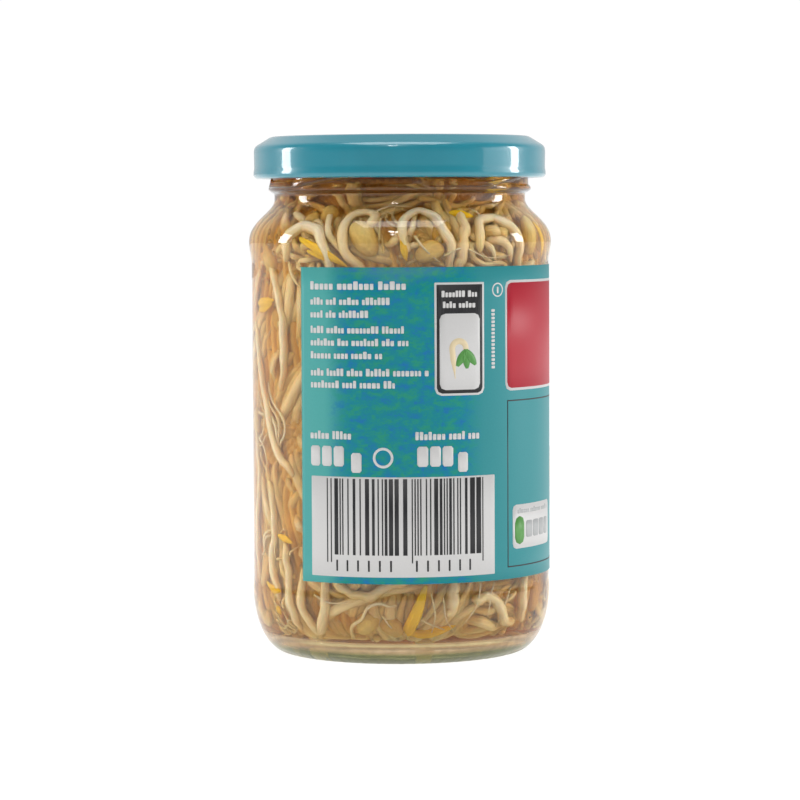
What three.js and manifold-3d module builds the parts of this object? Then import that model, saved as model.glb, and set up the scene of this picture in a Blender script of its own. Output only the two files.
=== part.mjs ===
// A twist-off glass jar packed with pickled bean sprouts, under a painted tin lid.
// Millimetres, +Z up. The origin is the middle of the base ring that the jar stands on, the front
// is -Y, and an angle round the jar is counted in degrees from the front towards +X.
// Everything is a turned profile or a closed shape mapped onto the "sheet" inside the glass, where
// a place is an angle, a height and a depth behind the wall.
import * as THREE from "three";
import { mergeVertices } from "three/addons/utils/BufferGeometryUtils.js";
import Module from "manifold-3d";

const wasm = await Module();
wasm.setup();

// Driving dimensions of the glass
const RIM_Z = 122;
const RING_RADIUS = 28; // the flat ring that touches the table
const RING_WIDTH = 1.4;
const PUNT_HEIGHT = 2.2; // hollow under the base
const HEEL_RADIUS = 36;
const HEEL_Z = 15.5;
const PANEL_RADIUS = 35.8; // the recess that the label sits in
const PANEL_LOW_Z = 18;
const PANEL_HIGH_Z = 93.8;
const SHOULDER_RADIUS = 36.4;
const SHOULDER_Z = 98.9;
const NECK_RADIUS = 30.2;
const NECK_Z = 108.9;
const BEAD_RADIUS = 31.6;
const BEAD_Z = 111.5;
const FINISH_RADIUS = 31; // plain wall between the threads
const MOUTH_RADIUS = 28.3;
const WALL = 2.4;
const FLOOR_Z = 5;
const FACETS = 36;

// Four-start thread, and the lid that turns on it
const STARTS = 4;
const THREAD_RADIUS = 0.8;
const THREAD_CENTRE = FINISH_RADIUS + 0.45;
const THREAD_FACETS = 5;
const THREAD_STEPS = 13;
const OPEN_TURN = 55; // degrees that the lid turns before its lugs leave the threads
const OPEN_RISE = 1.8; // how far it climbs in that turn
const LUG_CENTRE = 20; // angle of the first lug with the lid shut
const LUG_WIDTH = 8;
const LUG_TAPER = 2; // degrees over which each end of a lug slopes back to the curl
const LUG_REACH = 31.8;
const LUG_LIFT = 0.1; // above the lid's lower edge
const LUG_HEIGHT = 1.5;
const LID_TOP_Z = 124;
const LID_RADIUS = 35.2;
const LID_EDGE_Z = 113.9;
const LID_SHEET = 0.3;
const LID_RING = 30.4; // outer edge of the raised flat ring
const LID_PANEL = 24.2; // edge of the sunk middle
const LID_PANEL_DROP = 0.8;
const LID_BUTTON = 0.3; // how far the middle of the sunk panel bulges up
const LID_BUTTON_RADIUS = 11;
const CURL_RADIUS = 1.05;
const CLEARANCE = 0.3;
const SEAL_GAP = 0.2; // between the jar's rim and the sealing ring

// The paper label
const LABEL_START = -41.6;
const LABEL_SPAN = 300;
const LABEL_LOW_Z = 19.7;
const LABEL_HIGH_Z = 93.2;
const LABEL_GAP = 0.1;
const PAPER = 0.2;

// The brine, modelled as the film between the glass and the sprouts, and the sprouts in it
const BRINE_INSET = 0.3;
const BRINE_WALL = 0.5;
const BRINE_TOP_Z = 117;
const BRINE_FACETS = 24;
const CONTENTS_INSET = 1.25;
const CONTENTS_TOP_Z = 114.5;
const CORE_DEPTH = 3.4; // how far the packed middle lies behind the outermost sprouts
const CORE_RIDGES = 30;
const CORE_ROWS = 17;
const RIDGE_HEIGHT = 2.2;
const STRANDS = 36;
const STRAND_RADII = [1.1, 1.4];
const STRAND_LENGTHS = [26, 44];
const STRAND_BENDS = [-1.5, 1.5]; // how far a strand turns over its length, in radians
const STRAND_HEIGHTS = [11, 112];
const STEEPEST_BODY = 78; // degrees from level behind the wall
const STEEPEST_SHOULDER = 30; // and above the shoulder
const STRAND_LEAN = 14; // how far a strand may lean from its neighbours, in degrees
const STRAND_BEAN = [3.6, 2.5, 1.9]; // half length, half width and half thickness
const STRAND_BEAN_AT = 0.3; // how far along its strand a bean sits
const STRAND_FACETS = 4;
const STRAND_STEPS = 5;
const STRANDS_PER_BEAN = 5;
const END_DEPTH = 4.6; // how far behind the outermost sprouts a strand's ends are sunk
const END_NARROWING = 0.45;
const DIVE_GAP = 0.5; // left between a loose sprout and a strand that passes behind it
const DIVE_NEAR = 1.8; // a strand is down at full depth this near to a loose sprout
const DIVE_FAR = 5; // and not yet diving this far from it
const LOOSE_FACETS = 5;
const LOOSE_STEPS = 9;
const BEAN_FACETS = 6;
const CURVE_STEPS = 3;
const HEEL_STEPS = 5;
const SHEET_RADIUS = 31; // radius at which an angle is turned into millimetres round the sheet
const DEGREE_ARC = (SHEET_RADIUS * Math.PI) / 180; // millimetres round the sheet in one degree

const degrees = THREE.MathUtils.degToRad;
const lerp = THREE.MathUtils.lerp;

// The mesh of a three.js geometry as a solid, with doubled vertices merged and flat faces dropped.
function solid(geometry) {
  const bare = geometry.clone();
  bare.deleteAttribute("normal");
  bare.deleteAttribute("uv");
  const merged = mergeVertices(bare);
  const faces = [];
  const index = merged.index.array;
  for (let i = 0; i < index.length; i += 3) {
    const [a, b, c] = index.slice(i, i + 3);
    if (a !== b && b !== c && c !== a) faces.push(a, b, c);
  }
  const build = (triVerts) =>
    new wasm.Manifold(
      new wasm.Mesh({ numProp: 3, vertProperties: merged.attributes.position.array, triVerts }),
    );
  const made = build(new Uint32Array(faces));
  return made.volume() > 0 ? made : build(new Uint32Array(faces.reverse()));
}

// A solid's vertices and triangles as a three.js geometry.
function geometryOf(body) {
  const mesh = body.getMesh();
  const geometry = new THREE.BufferGeometry();
  geometry.setAttribute("position", new THREE.BufferAttribute(mesh.vertProperties, 3));
  geometry.setIndex(new THREE.BufferAttribute(mesh.triVerts, 1));
  geometry.computeVertexNormals();
  return geometry;
}

// A profile of radius and height turned round the jar's axis.
function turned(outline, facets = FACETS) {
  return solid(new THREE.LatheGeometry(outline, facets).rotateX(Math.PI / 2));
}

// A point at an angle, a distance from the axis and a height.
function around(angle, radius, z) {
  const a = degrees(angle);
  return new THREE.Vector3(radius * Math.sin(a), -radius * Math.cos(a), z);
}

// The inside of the glass from the middle of the floor to a height in the neck, moved in by inset.
function cavity(inset, top) {
  const panel = PANEL_RADIUS - WALL - inset;
  const shoulder = SHOULDER_RADIUS - WALL - inset;
  const mouth = MOUTH_RADIUS - inset;
  const floor = FLOOR_Z + inset;
  const path = new THREE.Path();
  path.moveTo(0, floor);
  path.lineTo(panel - 8.5, floor);
  path.bezierCurveTo(panel - 4, floor, panel, floor + 5, panel, HEEL_Z + 1);
  path.lineTo(panel, PANEL_HIGH_Z);
  path.bezierCurveTo(panel, PANEL_HIGH_Z + 2, shoulder, SHOULDER_Z - 3, shoulder, SHOULDER_Z - 0.5);
  path.bezierCurveTo(shoulder, SHOULDER_Z + 3.5, mouth, NECK_Z - 4.5, mouth, NECK_Z);
  path.lineTo(mouth, top);
  return path.getPoints(CURVE_STEPS);
}

// How far from the axis the contents reach at a height.
const contentsOutline = cavity(CONTENTS_INSET, RIM_Z).slice(1);
function contentsRadius(z) {
  const next = contentsOutline.findIndex((p) => p.y > z);
  if (next < 1) return contentsOutline[next < 0 ? contentsOutline.length - 1 : 0].x;
  const a = contentsOutline[next - 1];
  const b = contentsOutline[next];
  return lerp(a.x, b.x, (z - a.y) / (b.y - a.y));
}

// The glass: base ring, heel, label recess, shoulder, neck, bead, finish and rim, with its threads.
function makeJar() {
  const path = new THREE.Path();
  path.moveTo(0, PUNT_HEIGHT);
  path.lineTo(RING_RADIUS * 0.7, PUNT_HEIGHT);
  path.lineTo(RING_RADIUS - RING_WIDTH, 0);
  path.lineTo(RING_RADIUS, 0);
  const heel = Array.from({ length: HEEL_STEPS }, (_, i) => {
    const t = ((i + 1) / HEEL_STEPS) * (Math.PI / 2);
    const radius = RING_RADIUS + (HEEL_RADIUS - RING_RADIUS) * Math.sin(t);
    return new THREE.Vector2(radius, HEEL_Z * (1 - Math.cos(t)));
  });
  const upper = new THREE.Path();
  upper.moveTo(PANEL_RADIUS, PANEL_LOW_Z);
  upper.lineTo(PANEL_RADIUS, PANEL_HIGH_Z);
  const side = SHOULDER_RADIUS;
  const top = SHOULDER_Z;
  upper.bezierCurveTo(PANEL_RADIUS, PANEL_HIGH_Z + 1.6, side, top - 2.3, side, top);
  upper.bezierCurveTo(side, top + 5, NECK_RADIUS, NECK_Z - 2.9, NECK_RADIUS, NECK_Z);
  const finish = [
    [NECK_RADIUS, BEAD_Z - 1.3],
    [BEAD_RADIUS - 0.3, BEAD_Z - 0.8],
    [BEAD_RADIUS, BEAD_Z],
    [BEAD_RADIUS - 0.3, BEAD_Z + 0.8],
    [FINISH_RADIUS, BEAD_Z + 1.2],
    [FINISH_RADIUS, RIM_Z - 1.2],
    [FINISH_RADIUS - 0.9, RIM_Z],
    [MOUTH_RADIUS + 0.8, RIM_Z],
  ].map(([radius, z]) => new THREE.Vector2(radius, z));
  const inside = cavity(0, RIM_Z - 0.9).reverse();
  const body = [...path.getPoints(), ...heel, ...upper.getPoints(CURVE_STEPS + 1)];
  let glass = turned([...body, ...finish, ...inside]);
  for (let start = 0; start < STARTS; start++) {
    glass = glass.add(threadRidge((start * 360) / STARTS));
  }
  return glass;
}

// One thread: a stop rib, a low flat, a steep rise and the slow ramp that a lug climbs.
// The ramp's underside stays a clearance above the lug all through its turn.
function threadRidge(turn) {
  const slope = OPEN_RISE / OPEN_TURN;
  const lugTop = LID_EDGE_Z + LUG_LIFT + LUG_HEIGHT;
  const rampAt = (angle) =>
    lugTop + CLEARANCE + THREAD_RADIUS + slope * (angle - (LUG_CENTRE - LUG_WIDTH / 2));
  const flat = BEAD_Z + 1.1;
  const rampStart = 8;
  const rampEnd = LUG_CENTRE + OPEN_TURN - LUG_WIDTH / 2;
  const heights = [
    [-84, flat + 0.9],
    [-78, flat],
    [-64, flat],
    [-49, flat],
    [-30, lerp(flat, rampAt(rampStart), 0.34)],
    [-11, lerp(flat, rampAt(rampStart), 0.72)],
    ...[rampStart, rampStart + 15, rampStart + 40, rampEnd].map((angle) => [angle, rampAt(angle)]),
  ];
  const ridge = new THREE.CatmullRomCurve3(
    heights.map(([angle, z]) => around(angle + turn, THREAD_CENTRE, z)),
  );
  const section = new THREE.Shape(circle(THREAD_RADIUS, THREAD_FACETS));
  return solid(
    new THREE.ExtrudeGeometry(section, {
      extrudePath: ridge,
      steps: THREAD_STEPS,
      bevelEnabled: false,
    }),
  );
}

function circle(radius, sides) {
  return Array.from({ length: sides }, (_, i) => {
    const t = (i / sides) * 2 * Math.PI;
    return new THREE.Vector2(radius * Math.cos(t), radius * Math.sin(t));
  });
}

// The lid: sunk middle, raised flat ring, sloped edge, skirt and rolled curl, with its four lugs.
function makeLid() {
  const curlZ = LID_EDGE_Z + CURL_RADIUS;
  const curlCentre = LID_RADIUS - CURL_RADIUS;
  const curl = Array.from({ length: 7 }, (_, i) => {
    const t = -(i / 6) * Math.PI * 1.25;
    const x = curlCentre + CURL_RADIUS * Math.cos(t);
    return new THREE.Vector2(x, curlZ + CURL_RADIUS * Math.sin(t));
  });
  const sunk = LID_TOP_Z - LID_PANEL_DROP;
  const top = [
    [0, sunk + LID_BUTTON],
    [LID_BUTTON_RADIUS, sunk],
    [LID_PANEL - 0.8, sunk],
    [LID_PANEL, LID_TOP_Z],
    [LID_RING, LID_TOP_Z],
    [LID_RING + 2.5, LID_TOP_Z - 1.2],
    [LID_RADIUS - 0.9, LID_TOP_Z - 2.1],
    [LID_RADIUS, LID_TOP_Z - 3.4],
  ].map(([radius, z]) => new THREE.Vector2(radius, z));
  const under = [
    [LID_RADIUS - LID_SHEET, curlZ + CURL_RADIUS],
    [LID_RADIUS - LID_SHEET, LID_TOP_Z - 3.5],
    [LID_RADIUS - 1.15, LID_TOP_Z - 2.4],
    [LID_RING + 2.3, LID_TOP_Z - 1.5],
    [LID_RING - 0.1, LID_TOP_Z - LID_SHEET],
    [LID_PANEL + 0.25, LID_TOP_Z - LID_SHEET],
    [LID_PANEL - 0.6, sunk - LID_SHEET],
    [0, sunk - LID_SHEET],
  ].map(([radius, z]) => new THREE.Vector2(radius, z));
  let lid = turned([...top, ...curl, ...under]);
  for (let i = 0; i < STARTS; i++) {
    lid = lid.add(lug(LUG_CENTRE + (i * 360) / STARTS));
  }
  return lid;
}

// A lug: a length of the curl pressed in until it reaches under a thread.
function lug(centre) {
  const shape = new THREE.Shape();
  const out = LID_RADIUS - CURL_RADIUS;
  const corner = (angle, radius) => {
    const p = around(centre + angle, radius, 0);
    return new THREE.Vector2(p.x, p.y);
  };
  const half = LUG_WIDTH / 2;
  shape.setFromPoints([
    corner(-half - LUG_TAPER, out),
    corner(-half, LUG_REACH),
    corner(0, LUG_REACH),
    corner(half, LUG_REACH),
    corner(half + LUG_TAPER, out),
  ]);
  const block = new THREE.ExtrudeGeometry(shape, { depth: LUG_HEIGHT, bevelEnabled: false });
  return solid(block.translate(0, 0, LID_EDGE_Z + LUG_LIFT));
}

// The sealing ring flowed into the lid's channel, above the jar's rim.
function makeGasket() {
  const low = RIM_Z + SEAL_GAP;
  const high = LID_TOP_Z - LID_SHEET - CLEARANCE;
  const inner = MOUTH_RADIUS - 0.4;
  const outer = FINISH_RADIUS + 1.2;
  return turned(
    [
      [inner, low],
      [outer, low],
      [outer, low + 0.15],
      [LID_RING - CLEARANCE, high],
      [inner, high],
      [inner, low],
    ].map(([radius, z]) => new THREE.Vector2(radius, z)),
  );
}

// The label: a sheet bent round the jar's facets, so that it lies flat on each of them.
function makeLabel() {
  const facet = 360 / FACETS;
  const onFacet = (angle, radius) => {
    const off = (((angle % facet) + facet) % facet) - facet / 2;
    return (radius * Math.cos(degrees(facet / 2))) / Math.cos(degrees(off));
  };
  const angles = [LABEL_START];
  const end = LABEL_START + LABEL_SPAN;
  for (let k = Math.ceil(LABEL_START / facet); k * facet < end; k++) {
    angles.push(k * facet);
  }
  angles.push(end);
  const arc = (radius) =>
    angles.map((angle) => {
      const p = around(angle, onFacet(angle, radius), 0);
      return new THREE.Vector2(p.x, p.y);
    });
  const inner = arc(PANEL_RADIUS + LABEL_GAP);
  const outer = arc(PANEL_RADIUS + LABEL_GAP + PAPER);
  const sheet = new THREE.ExtrudeGeometry(new THREE.Shape([...outer, ...inner.reverse()]), {
    depth: LABEL_HIGH_Z - LABEL_LOW_Z,
    bevelEnabled: false,
  });
  return solid(sheet.translate(0, 0, LABEL_LOW_Z));
}

// The brine: a cup of liquid inside the glass, with the plain hollow that the sprouts stand in.
function makeBrine() {
  const outside = cavity(BRINE_INSET, BRINE_TOP_Z);
  const inside = cavity(BRINE_INSET + BRINE_WALL, BRINE_TOP_Z).reverse();
  return turned([...outside, ...inside], BRINE_FACETS);
}

// Places a closed shape on the sheet. Its own x runs along the path, y across it and z outwards.
// path(x) gives the sheet point there, as { angle, z, across }, and depth(x, point) how far the
// path lies behind the outermost contents.
function onSheet(geometry, path, depth) {
  const position = geometry.attributes.position;
  for (let i = 0; i < position.count; i++) {
    const at = path(position.getX(i));
    const y = position.getY(i);
    const angle = at.angle + (y * at.across.x) / DEGREE_ARC;
    const z = at.z + y * at.across.y;
    const radius = contentsRadius(z) - depth(position.getX(i), { angle, z }) + position.getZ(i);
    const p = around(angle, radius, z);
    position.setXYZ(i, p.x, p.y, p.z);
  }
  return geometry;
}

// A bar from x = 0 to 1 with a round section that narrows at both ends.
function bar(radius, sides, steps) {
  const cylinder = new THREE.CylinderGeometry(1, 1, 1, sides, steps).rotateZ(-Math.PI / 2);
  const position = cylinder.attributes.position;
  for (let i = 0; i < position.count; i++) {
    const t = position.getX(i) + 0.5;
    const swell = radius * (1 - END_NARROWING * Math.abs(2 * t - 1) ** 6);
    position.setXYZ(i, t, position.getY(i) * swell, position.getZ(i) * swell);
  }
  return cylinder;
}

// A smooth path through places given as [angle, height] by hand.
function pathThrough(places) {
  const curve = new THREE.CatmullRomCurve3(
    places.map(([angle, z]) => new THREE.Vector3(angle * DEGREE_ARC, z, 0)),
    false,
    "catmullrom",
  );
  return (t) => {
    const p = curve.getPoint(t);
    const tangent = curve.getTangent(t);
    const across = new THREE.Vector2(-tangent.y, tangent.x);
    return { angle: p.x / DEGREE_ARC, z: p.y, across };
  };
}

// The loose sprouts that lie against the glass, from the bean end to the root end.
// bean is the place of the seed leaves and the way they point, in degrees from level.
const LOOSE_SPROUTS = [
  {
    name: "sprout_hooked",
    radius: 1.2,
    places: [
      [-14, 100.6],
      [-11, 103.4],
      [-16, 104.8],
      [-22, 103.2],
      [-24.5, 99.8],
      [-21.5, 96],
      [-14, 91],
      [-8, 84],
    ],
    bean: { angle: -15.4, z: 99.2, turn: -48, size: [4.1, 2.7, 2] },
  },
  {
    name: "sprout_left_arch",
    radius: 1.25,
    places: [[-54, 95], [-52, 99.5], [-44, 101.6], [-36, 100.4], [-31, 96.5], [-30, 90], [-33, 82]],
  },
  {
    name: "sprout_centre_arch",
    radius: 1.1,
    places: [[3, 97], [1, 101.8], [8, 105], [16, 103], [20.5, 98.5], [21, 91]],
  },
  {
    name: "sprout_right_upright",
    radius: 1.35,
    places: [[29, 105], [27.4, 100], [25.6, 95], [25, 88]],
    bean: { angle: 12.5, z: 96.4, turn: 20, size: [3.5, 2.5, 1.9] },
    loose: true,
  },
  {
    name: "sprout_right_arch",
    radius: 1.3,
    places: [[34, 97], [36, 101.6], [44, 103], [52, 101.4], [57, 97.4], [57, 90]],
    bean: { angle: 67, z: 99.6, turn: 80, size: [3.6, 2.5, 1.9] },
    loose: true,
  },
  {
    name: "sprout_side_bow",
    radius: 1.25,
    places: [[-66, 93.4], [-59, 85], [-56, 74], [-58, 64]],
    bean: { angle: -67, z: 95, turn: 120, size: [3.8, 2.6, 1.9] },
  },
  {
    name: "sprout_side_slant",
    radius: 1.25,
    places: [[-84, 80], [-77, 69], [-70, 59], [-61, 49], [-50, 44]],
  },
  {
    name: "sprout_side_upright",
    radius: 1.15,
    places: [[-83.4, 54.4], [-80, 42], [-84, 29], [-80, 18]],
    bean: { angle: -84, z: 55.6, turn: 100, size: [3.6, 2.5, 1.9] },
  },
  {
    name: "sprout_side_low",
    radius: 1.25,
    places: [[-68, 42], [-64, 32], [-66, 22], [-60, 14]],
  },
  {
    name: "sprout_heel_upright",
    radius: 1.15,
    places: [[-56, 28], [-54, 20], [-53, 12], [-51.5, 8]],
  },
  {
    name: "sprout_heel_loop",
    radius: 1.15,
    places: [[-45, 22], [-46, 14], [-44, 9], [-39, 8.4], [-35, 12], [-33, 18], [-34, 26]],
  },
  {
    name: "sprout_heel_level",
    radius: 1.2,
    places: [[-29, 20], [-22, 17], [-14, 16.4], [-6, 18.6], [2, 20]],
    bean: { angle: -15, z: 10, turn: 35, size: [3.2, 2.5, 1.9] },
    loose: true,
  },
  {
    name: "sprout_heel_beige",
    radius: 1.45,
    places: [[21, 26], [22, 20], [22, 15], [21, 11.4]],
    bean: { angle: -4.6, z: 9.2, turn: -25, size: [3.2, 2.2, 1.8] },
    loose: true,
  },
  {
    name: "sprout_heel_bent",
    radius: 1.3,
    places: [[31, 14.8], [38, 15.4], [45, 13.6], [50, 10], [58, 9]],
  },
  {
    name: "sprout_heel_right",
    radius: 1.3,
    places: [[60, 28], [61, 20], [60, 14], [64, 9]],
  },
];

// Round the back the same sprouts come again at other angles, shifted in height.
const BACK_COPIES = [
  { of: "sprout_right_arch", turn: 66, lift: -0.6 },
  { of: "sprout_hooked", turn: 168, lift: 0.4 },
  { of: "sprout_left_arch", turn: 238, lift: 0 },
  { of: "sprout_heel_loop", turn: 136, lift: 0.6 },
  { of: "sprout_heel_bent", turn: 86, lift: 0.4 },
  { of: "sprout_heel_level", turn: 208, lift: 0.6 },
];

function looseSprouts() {
  const copies = BACK_COPIES.map(({ of, turn, lift }) => {
    const source = LOOSE_SPROUTS.find((sprout) => sprout.name === of);
    const bean = source.bean && {
      ...source.bean,
      angle: source.bean.angle + turn,
      z: source.bean.z + lift,
    };
    const places = source.places.map(([angle, z]) => [angle + turn, z + lift]);
    return { ...source, name: `${of}_back`, places, bean };
  });
  return [...LOOSE_SPROUTS, ...copies];
}

function stem({ places, radius }) {
  const path = pathThrough(places);
  const depth = () => radius;
  return solid(onSheet(bar(radius, LOOSE_FACETS, LOOSE_STEPS), path, depth));
}

// A pair of seed leaves still closed like a bean.
function beanBody({ angle, z, turn, size }) {
  const [length, width, thick] = size;
  const sphere = new THREE.SphereGeometry(1, BEAN_FACETS, 5).scale(length, width, thick);
  const along = new THREE.Vector2(Math.cos(degrees(turn)), Math.sin(degrees(turn)));
  const path = (x) => ({
    angle: angle + (x * along.x) / DEGREE_ARC,
    z: z + x * along.y,
    across: new THREE.Vector2(-along.y, along.x),
  });
  return solid(onSheet(sphere, path, () => thick));
}

// How deep a strand has to dive at a place, to pass behind the loose sprouts there.
function obstacles(sprouts) {
  const spots = [];
  for (const { places, radius, bean } of sprouts) {
    const path = pathThrough(places);
    const samples = 3 * LOOSE_STEPS;
    for (let i = 0; i <= samples; i++) {
      const at = path(i / samples);
      spots.push({ angle: at.angle, z: at.z, reach: radius, need: 2 * radius + DIVE_GAP });
    }
    if (bean) spots.push({ ...bean, reach: bean.size[0], need: 2 * bean.size[2] + DIVE_GAP });
  }
  return ({ angle, z }) => {
    let dive = 0;
    for (const spot of spots) {
      const turn = ((((angle - spot.angle) % 360) + 540) % 360) - 180;
      const distance = Math.hypot(turn * DEGREE_ARC, z - spot.z) - spot.reach;
      const near = 1 - THREE.MathUtils.smoothstep(distance, DIVE_NEAR, DIVE_FAR);
      dive = Math.max(dive, near * spot.need);
    }
    return dive;
  };
}

// The fractional part of i steps of an irrational number: an even spread with no random draw.
const spread = (i, step) => ((i + 1) * step) % 1;

// Strand i of the tangle: a shallow arc on the sheet whose ends are sunk into the packed middle.
function strand(i, dive) {
  const radius = lerp(...STRAND_RADII, spread(i, 0.5497));
  const length = lerp(...STRAND_LENGTHS, spread(i, 0.8191));
  const turning = lerp(...STRAND_BENDS, spread(i, 0.6711));
  const middle = {
    angle: 360 * spread(i, 0.618034),
    z: lerp(...STRAND_HEIGHTS, spread(i, 0.7548777)),
  };
  const steepest = middle.z > SHOULDER_Z ? STEEPEST_SHOULDER : STEEPEST_BODY;
  const lay = Math.sin(degrees(2 * middle.angle) + middle.z / 16);
  const tilt = degrees(steepest * lay + lerp(-STRAND_LEAN, STRAND_LEAN, spread(i, 0.5698)));
  const path = (t) => {
    const bend = turning * (t - 0.5);
    const along = (length * Math.sin(bend)) / turning;
    const side = (length * (1 - Math.cos(bend))) / turning;
    const heading = tilt + bend;
    const z = middle.z + along * Math.sin(tilt) + side * Math.cos(tilt);
    return {
      angle: middle.angle + (along * Math.cos(tilt) - side * Math.sin(tilt)) / DEGREE_ARC,
      z: THREE.MathUtils.clamp(z, FLOOR_Z + 4, CONTENTS_TOP_Z),
      across: new THREE.Vector2(-Math.sin(heading), Math.cos(heading)),
    };
  };
  const depth = (t, point) => radius + Math.max(dive(point), END_DEPTH * Math.abs(2 * t - 1) ** 3);
  const body = solid(onSheet(bar(radius, STRAND_FACETS, STRAND_STEPS), path, depth));
  if (i % STRANDS_PER_BEAN) return body;
  const head = path(STRAND_BEAN_AT);
  const sunk = depth(STRAND_BEAN_AT, head) + 0.2;
  const sphere = new THREE.SphereGeometry(1, BEAN_FACETS, 4).scale(...STRAND_BEAN);
  const beanPath = (x) => ({
    angle: head.angle + (x * head.across.y) / DEGREE_ARC,
    z: head.z - x * head.across.x,
    across: head.across,
  });
  return body.add(solid(onSheet(sphere, beanPath, () => sunk)));
}

// The packed middle: sprouts standing side by side, as ridges that sway to and fro up the jar.
function makeCore() {
  const heights = Array.from({ length: CORE_ROWS }, (_, i) =>
    lerp(FLOOR_Z + 3, CONTENTS_TOP_Z, i / (CORE_ROWS - 1)),
  );
  const outline = [
    new THREE.Vector2(0, FLOOR_Z + 2.5),
    ...heights.map((z) => new THREE.Vector2(contentsRadius(z) - CORE_DEPTH, z)),
    new THREE.Vector2(0, CONTENTS_TOP_Z),
  ];
  const columns = 2 * CORE_RIDGES;
  const lathe = new THREE.LatheGeometry(outline, columns).rotateX(Math.PI / 2);
  const position = lathe.attributes.position;
  for (let i = 0; i < position.count; i++) {
    const z = position.getZ(i);
    const radius = Math.hypot(position.getX(i), position.getY(i));
    if (radius < 1) continue;
    const column = Math.floor(i / outline.length) % columns;
    const side = column % 2 ? -1 : 1;
    const height = RIDGE_HEIGHT * (0.7 + 0.3 * Math.sin(1.7 * column + z / 5));
    const sway = 18 * Math.sin(z / 17) + 6 * Math.sin(z / 6 + 1) + 3 * Math.sin(column + z / 9);
    const p = around((360 * column) / columns + sway, radius + (side * height) / 2, z);
    position.setXYZ(i, p.x, p.y, p.z);
  }
  return solid(lathe);
}

// Everything that holds together in the middle of the jar, trimmed where it meets a loose sprout.
function makeTangle(sprouts, pieces) {
  const dive = obstacles(sprouts);
  let body = makeCore();
  for (let i = 0; i < STRANDS; i++) {
    body = body.add(strand(i, dive));
  }
  for (const piece of pieces) {
    body = body.subtract(piece);
  }
  return body.decompose().sort((a, b) => b.volume() - a.volume())[0];
}

// A loose sprout a clearance fatter all round, to cut the room it lies in.
function roomFor(sprout) {
  const radius = sprout.radius + CLEARANCE;
  const path = pathThrough(sprout.places);
  let room = solid(onSheet(bar(radius, LOOSE_FACETS, LOOSE_STEPS), path, () => sprout.radius));
  if (!sprout.bean) return room;
  const size = sprout.bean.size.map((half) => half + CLEARANCE);
  const bean = { ...sprout.bean, size };
  return room.add(beanBody(bean));
}

const part = new THREE.Group();
function addPiece(name, body, colour, roughness, metalness = 0, extra = {}) {
  const material = new THREE.MeshStandardMaterial({ color: colour, roughness, metalness, ...extra });
  const mesh = new THREE.Mesh(geometryOf(body), material);
  mesh.name = name;
  part.add(mesh);
}

addPiece("jar", makeJar(), 0xdfe6dc, 0.05, 0, { transparent: true, opacity: 0.35 });
addPiece("lid", makeLid(), 0x3f9fb2, 0.25);
addPiece("lid_gasket", makeGasket(), 0xe6e2d6, 0.6);
addPiece("label", makeLabel(), 0x3b9bab, 0.45);
addPiece("brine", makeBrine(), 0xb98a4e, 0.1, 0, { transparent: true, opacity: 0.4 });

const sprouts = looseSprouts();
for (const sprout of sprouts) {
  let body = stem(sprout);
  if (sprout.bean && !sprout.loose) body = body.add(beanBody(sprout.bean));
  addPiece(sprout.name, body, 0xe0cfa8, 0.5);
  if (sprout.bean && sprout.loose) {
    addPiece(sprout.name.replace("sprout", "bean"), beanBody(sprout.bean), 0xc9a865, 0.5);
  }
}
addPiece("sprout_tangle", makeTangle(sprouts, sprouts.map(roomFor)), 0xcdb78c, 0.55);

export default part;
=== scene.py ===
# %% [markdown]
# A jar of pickled bean sprouts: clear glass, a teal tin lid, a wrap-round paper label and, behind
# the glass, sprouts packed in amber brine. The solid model of the jar is loaded first. It gives
# the size and place of everything, and each piece made here takes the place of a plainer solid.

import bpy
import numpy as np
from mathutils import Matrix, Vector


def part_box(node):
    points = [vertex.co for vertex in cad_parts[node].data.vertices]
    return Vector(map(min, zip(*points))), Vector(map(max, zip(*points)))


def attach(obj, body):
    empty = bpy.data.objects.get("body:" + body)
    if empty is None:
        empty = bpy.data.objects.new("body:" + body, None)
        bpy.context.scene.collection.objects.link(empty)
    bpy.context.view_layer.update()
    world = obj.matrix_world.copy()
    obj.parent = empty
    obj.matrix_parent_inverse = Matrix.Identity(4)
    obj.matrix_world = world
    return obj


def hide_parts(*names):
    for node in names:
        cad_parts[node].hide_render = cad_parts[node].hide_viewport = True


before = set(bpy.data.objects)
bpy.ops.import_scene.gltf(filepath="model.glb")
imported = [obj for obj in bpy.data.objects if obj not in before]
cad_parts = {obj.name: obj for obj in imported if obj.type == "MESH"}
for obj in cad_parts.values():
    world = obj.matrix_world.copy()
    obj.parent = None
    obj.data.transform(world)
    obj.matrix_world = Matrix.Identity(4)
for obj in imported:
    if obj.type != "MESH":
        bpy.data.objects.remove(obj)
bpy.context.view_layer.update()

# %% [markdown]
# All shapes are worked out in millimetres, with the front of the jar towards -Y, and are turned
# into metres only when a mesh is made. The dimensions are those of the glass: a heel, a shallow
# recess for the label, a shoulder, a neck, a bead and the threaded mouth. AXIS_GAP is the radius
# of the first ring of a turned piece, which a fan then closes at the axis.

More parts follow.
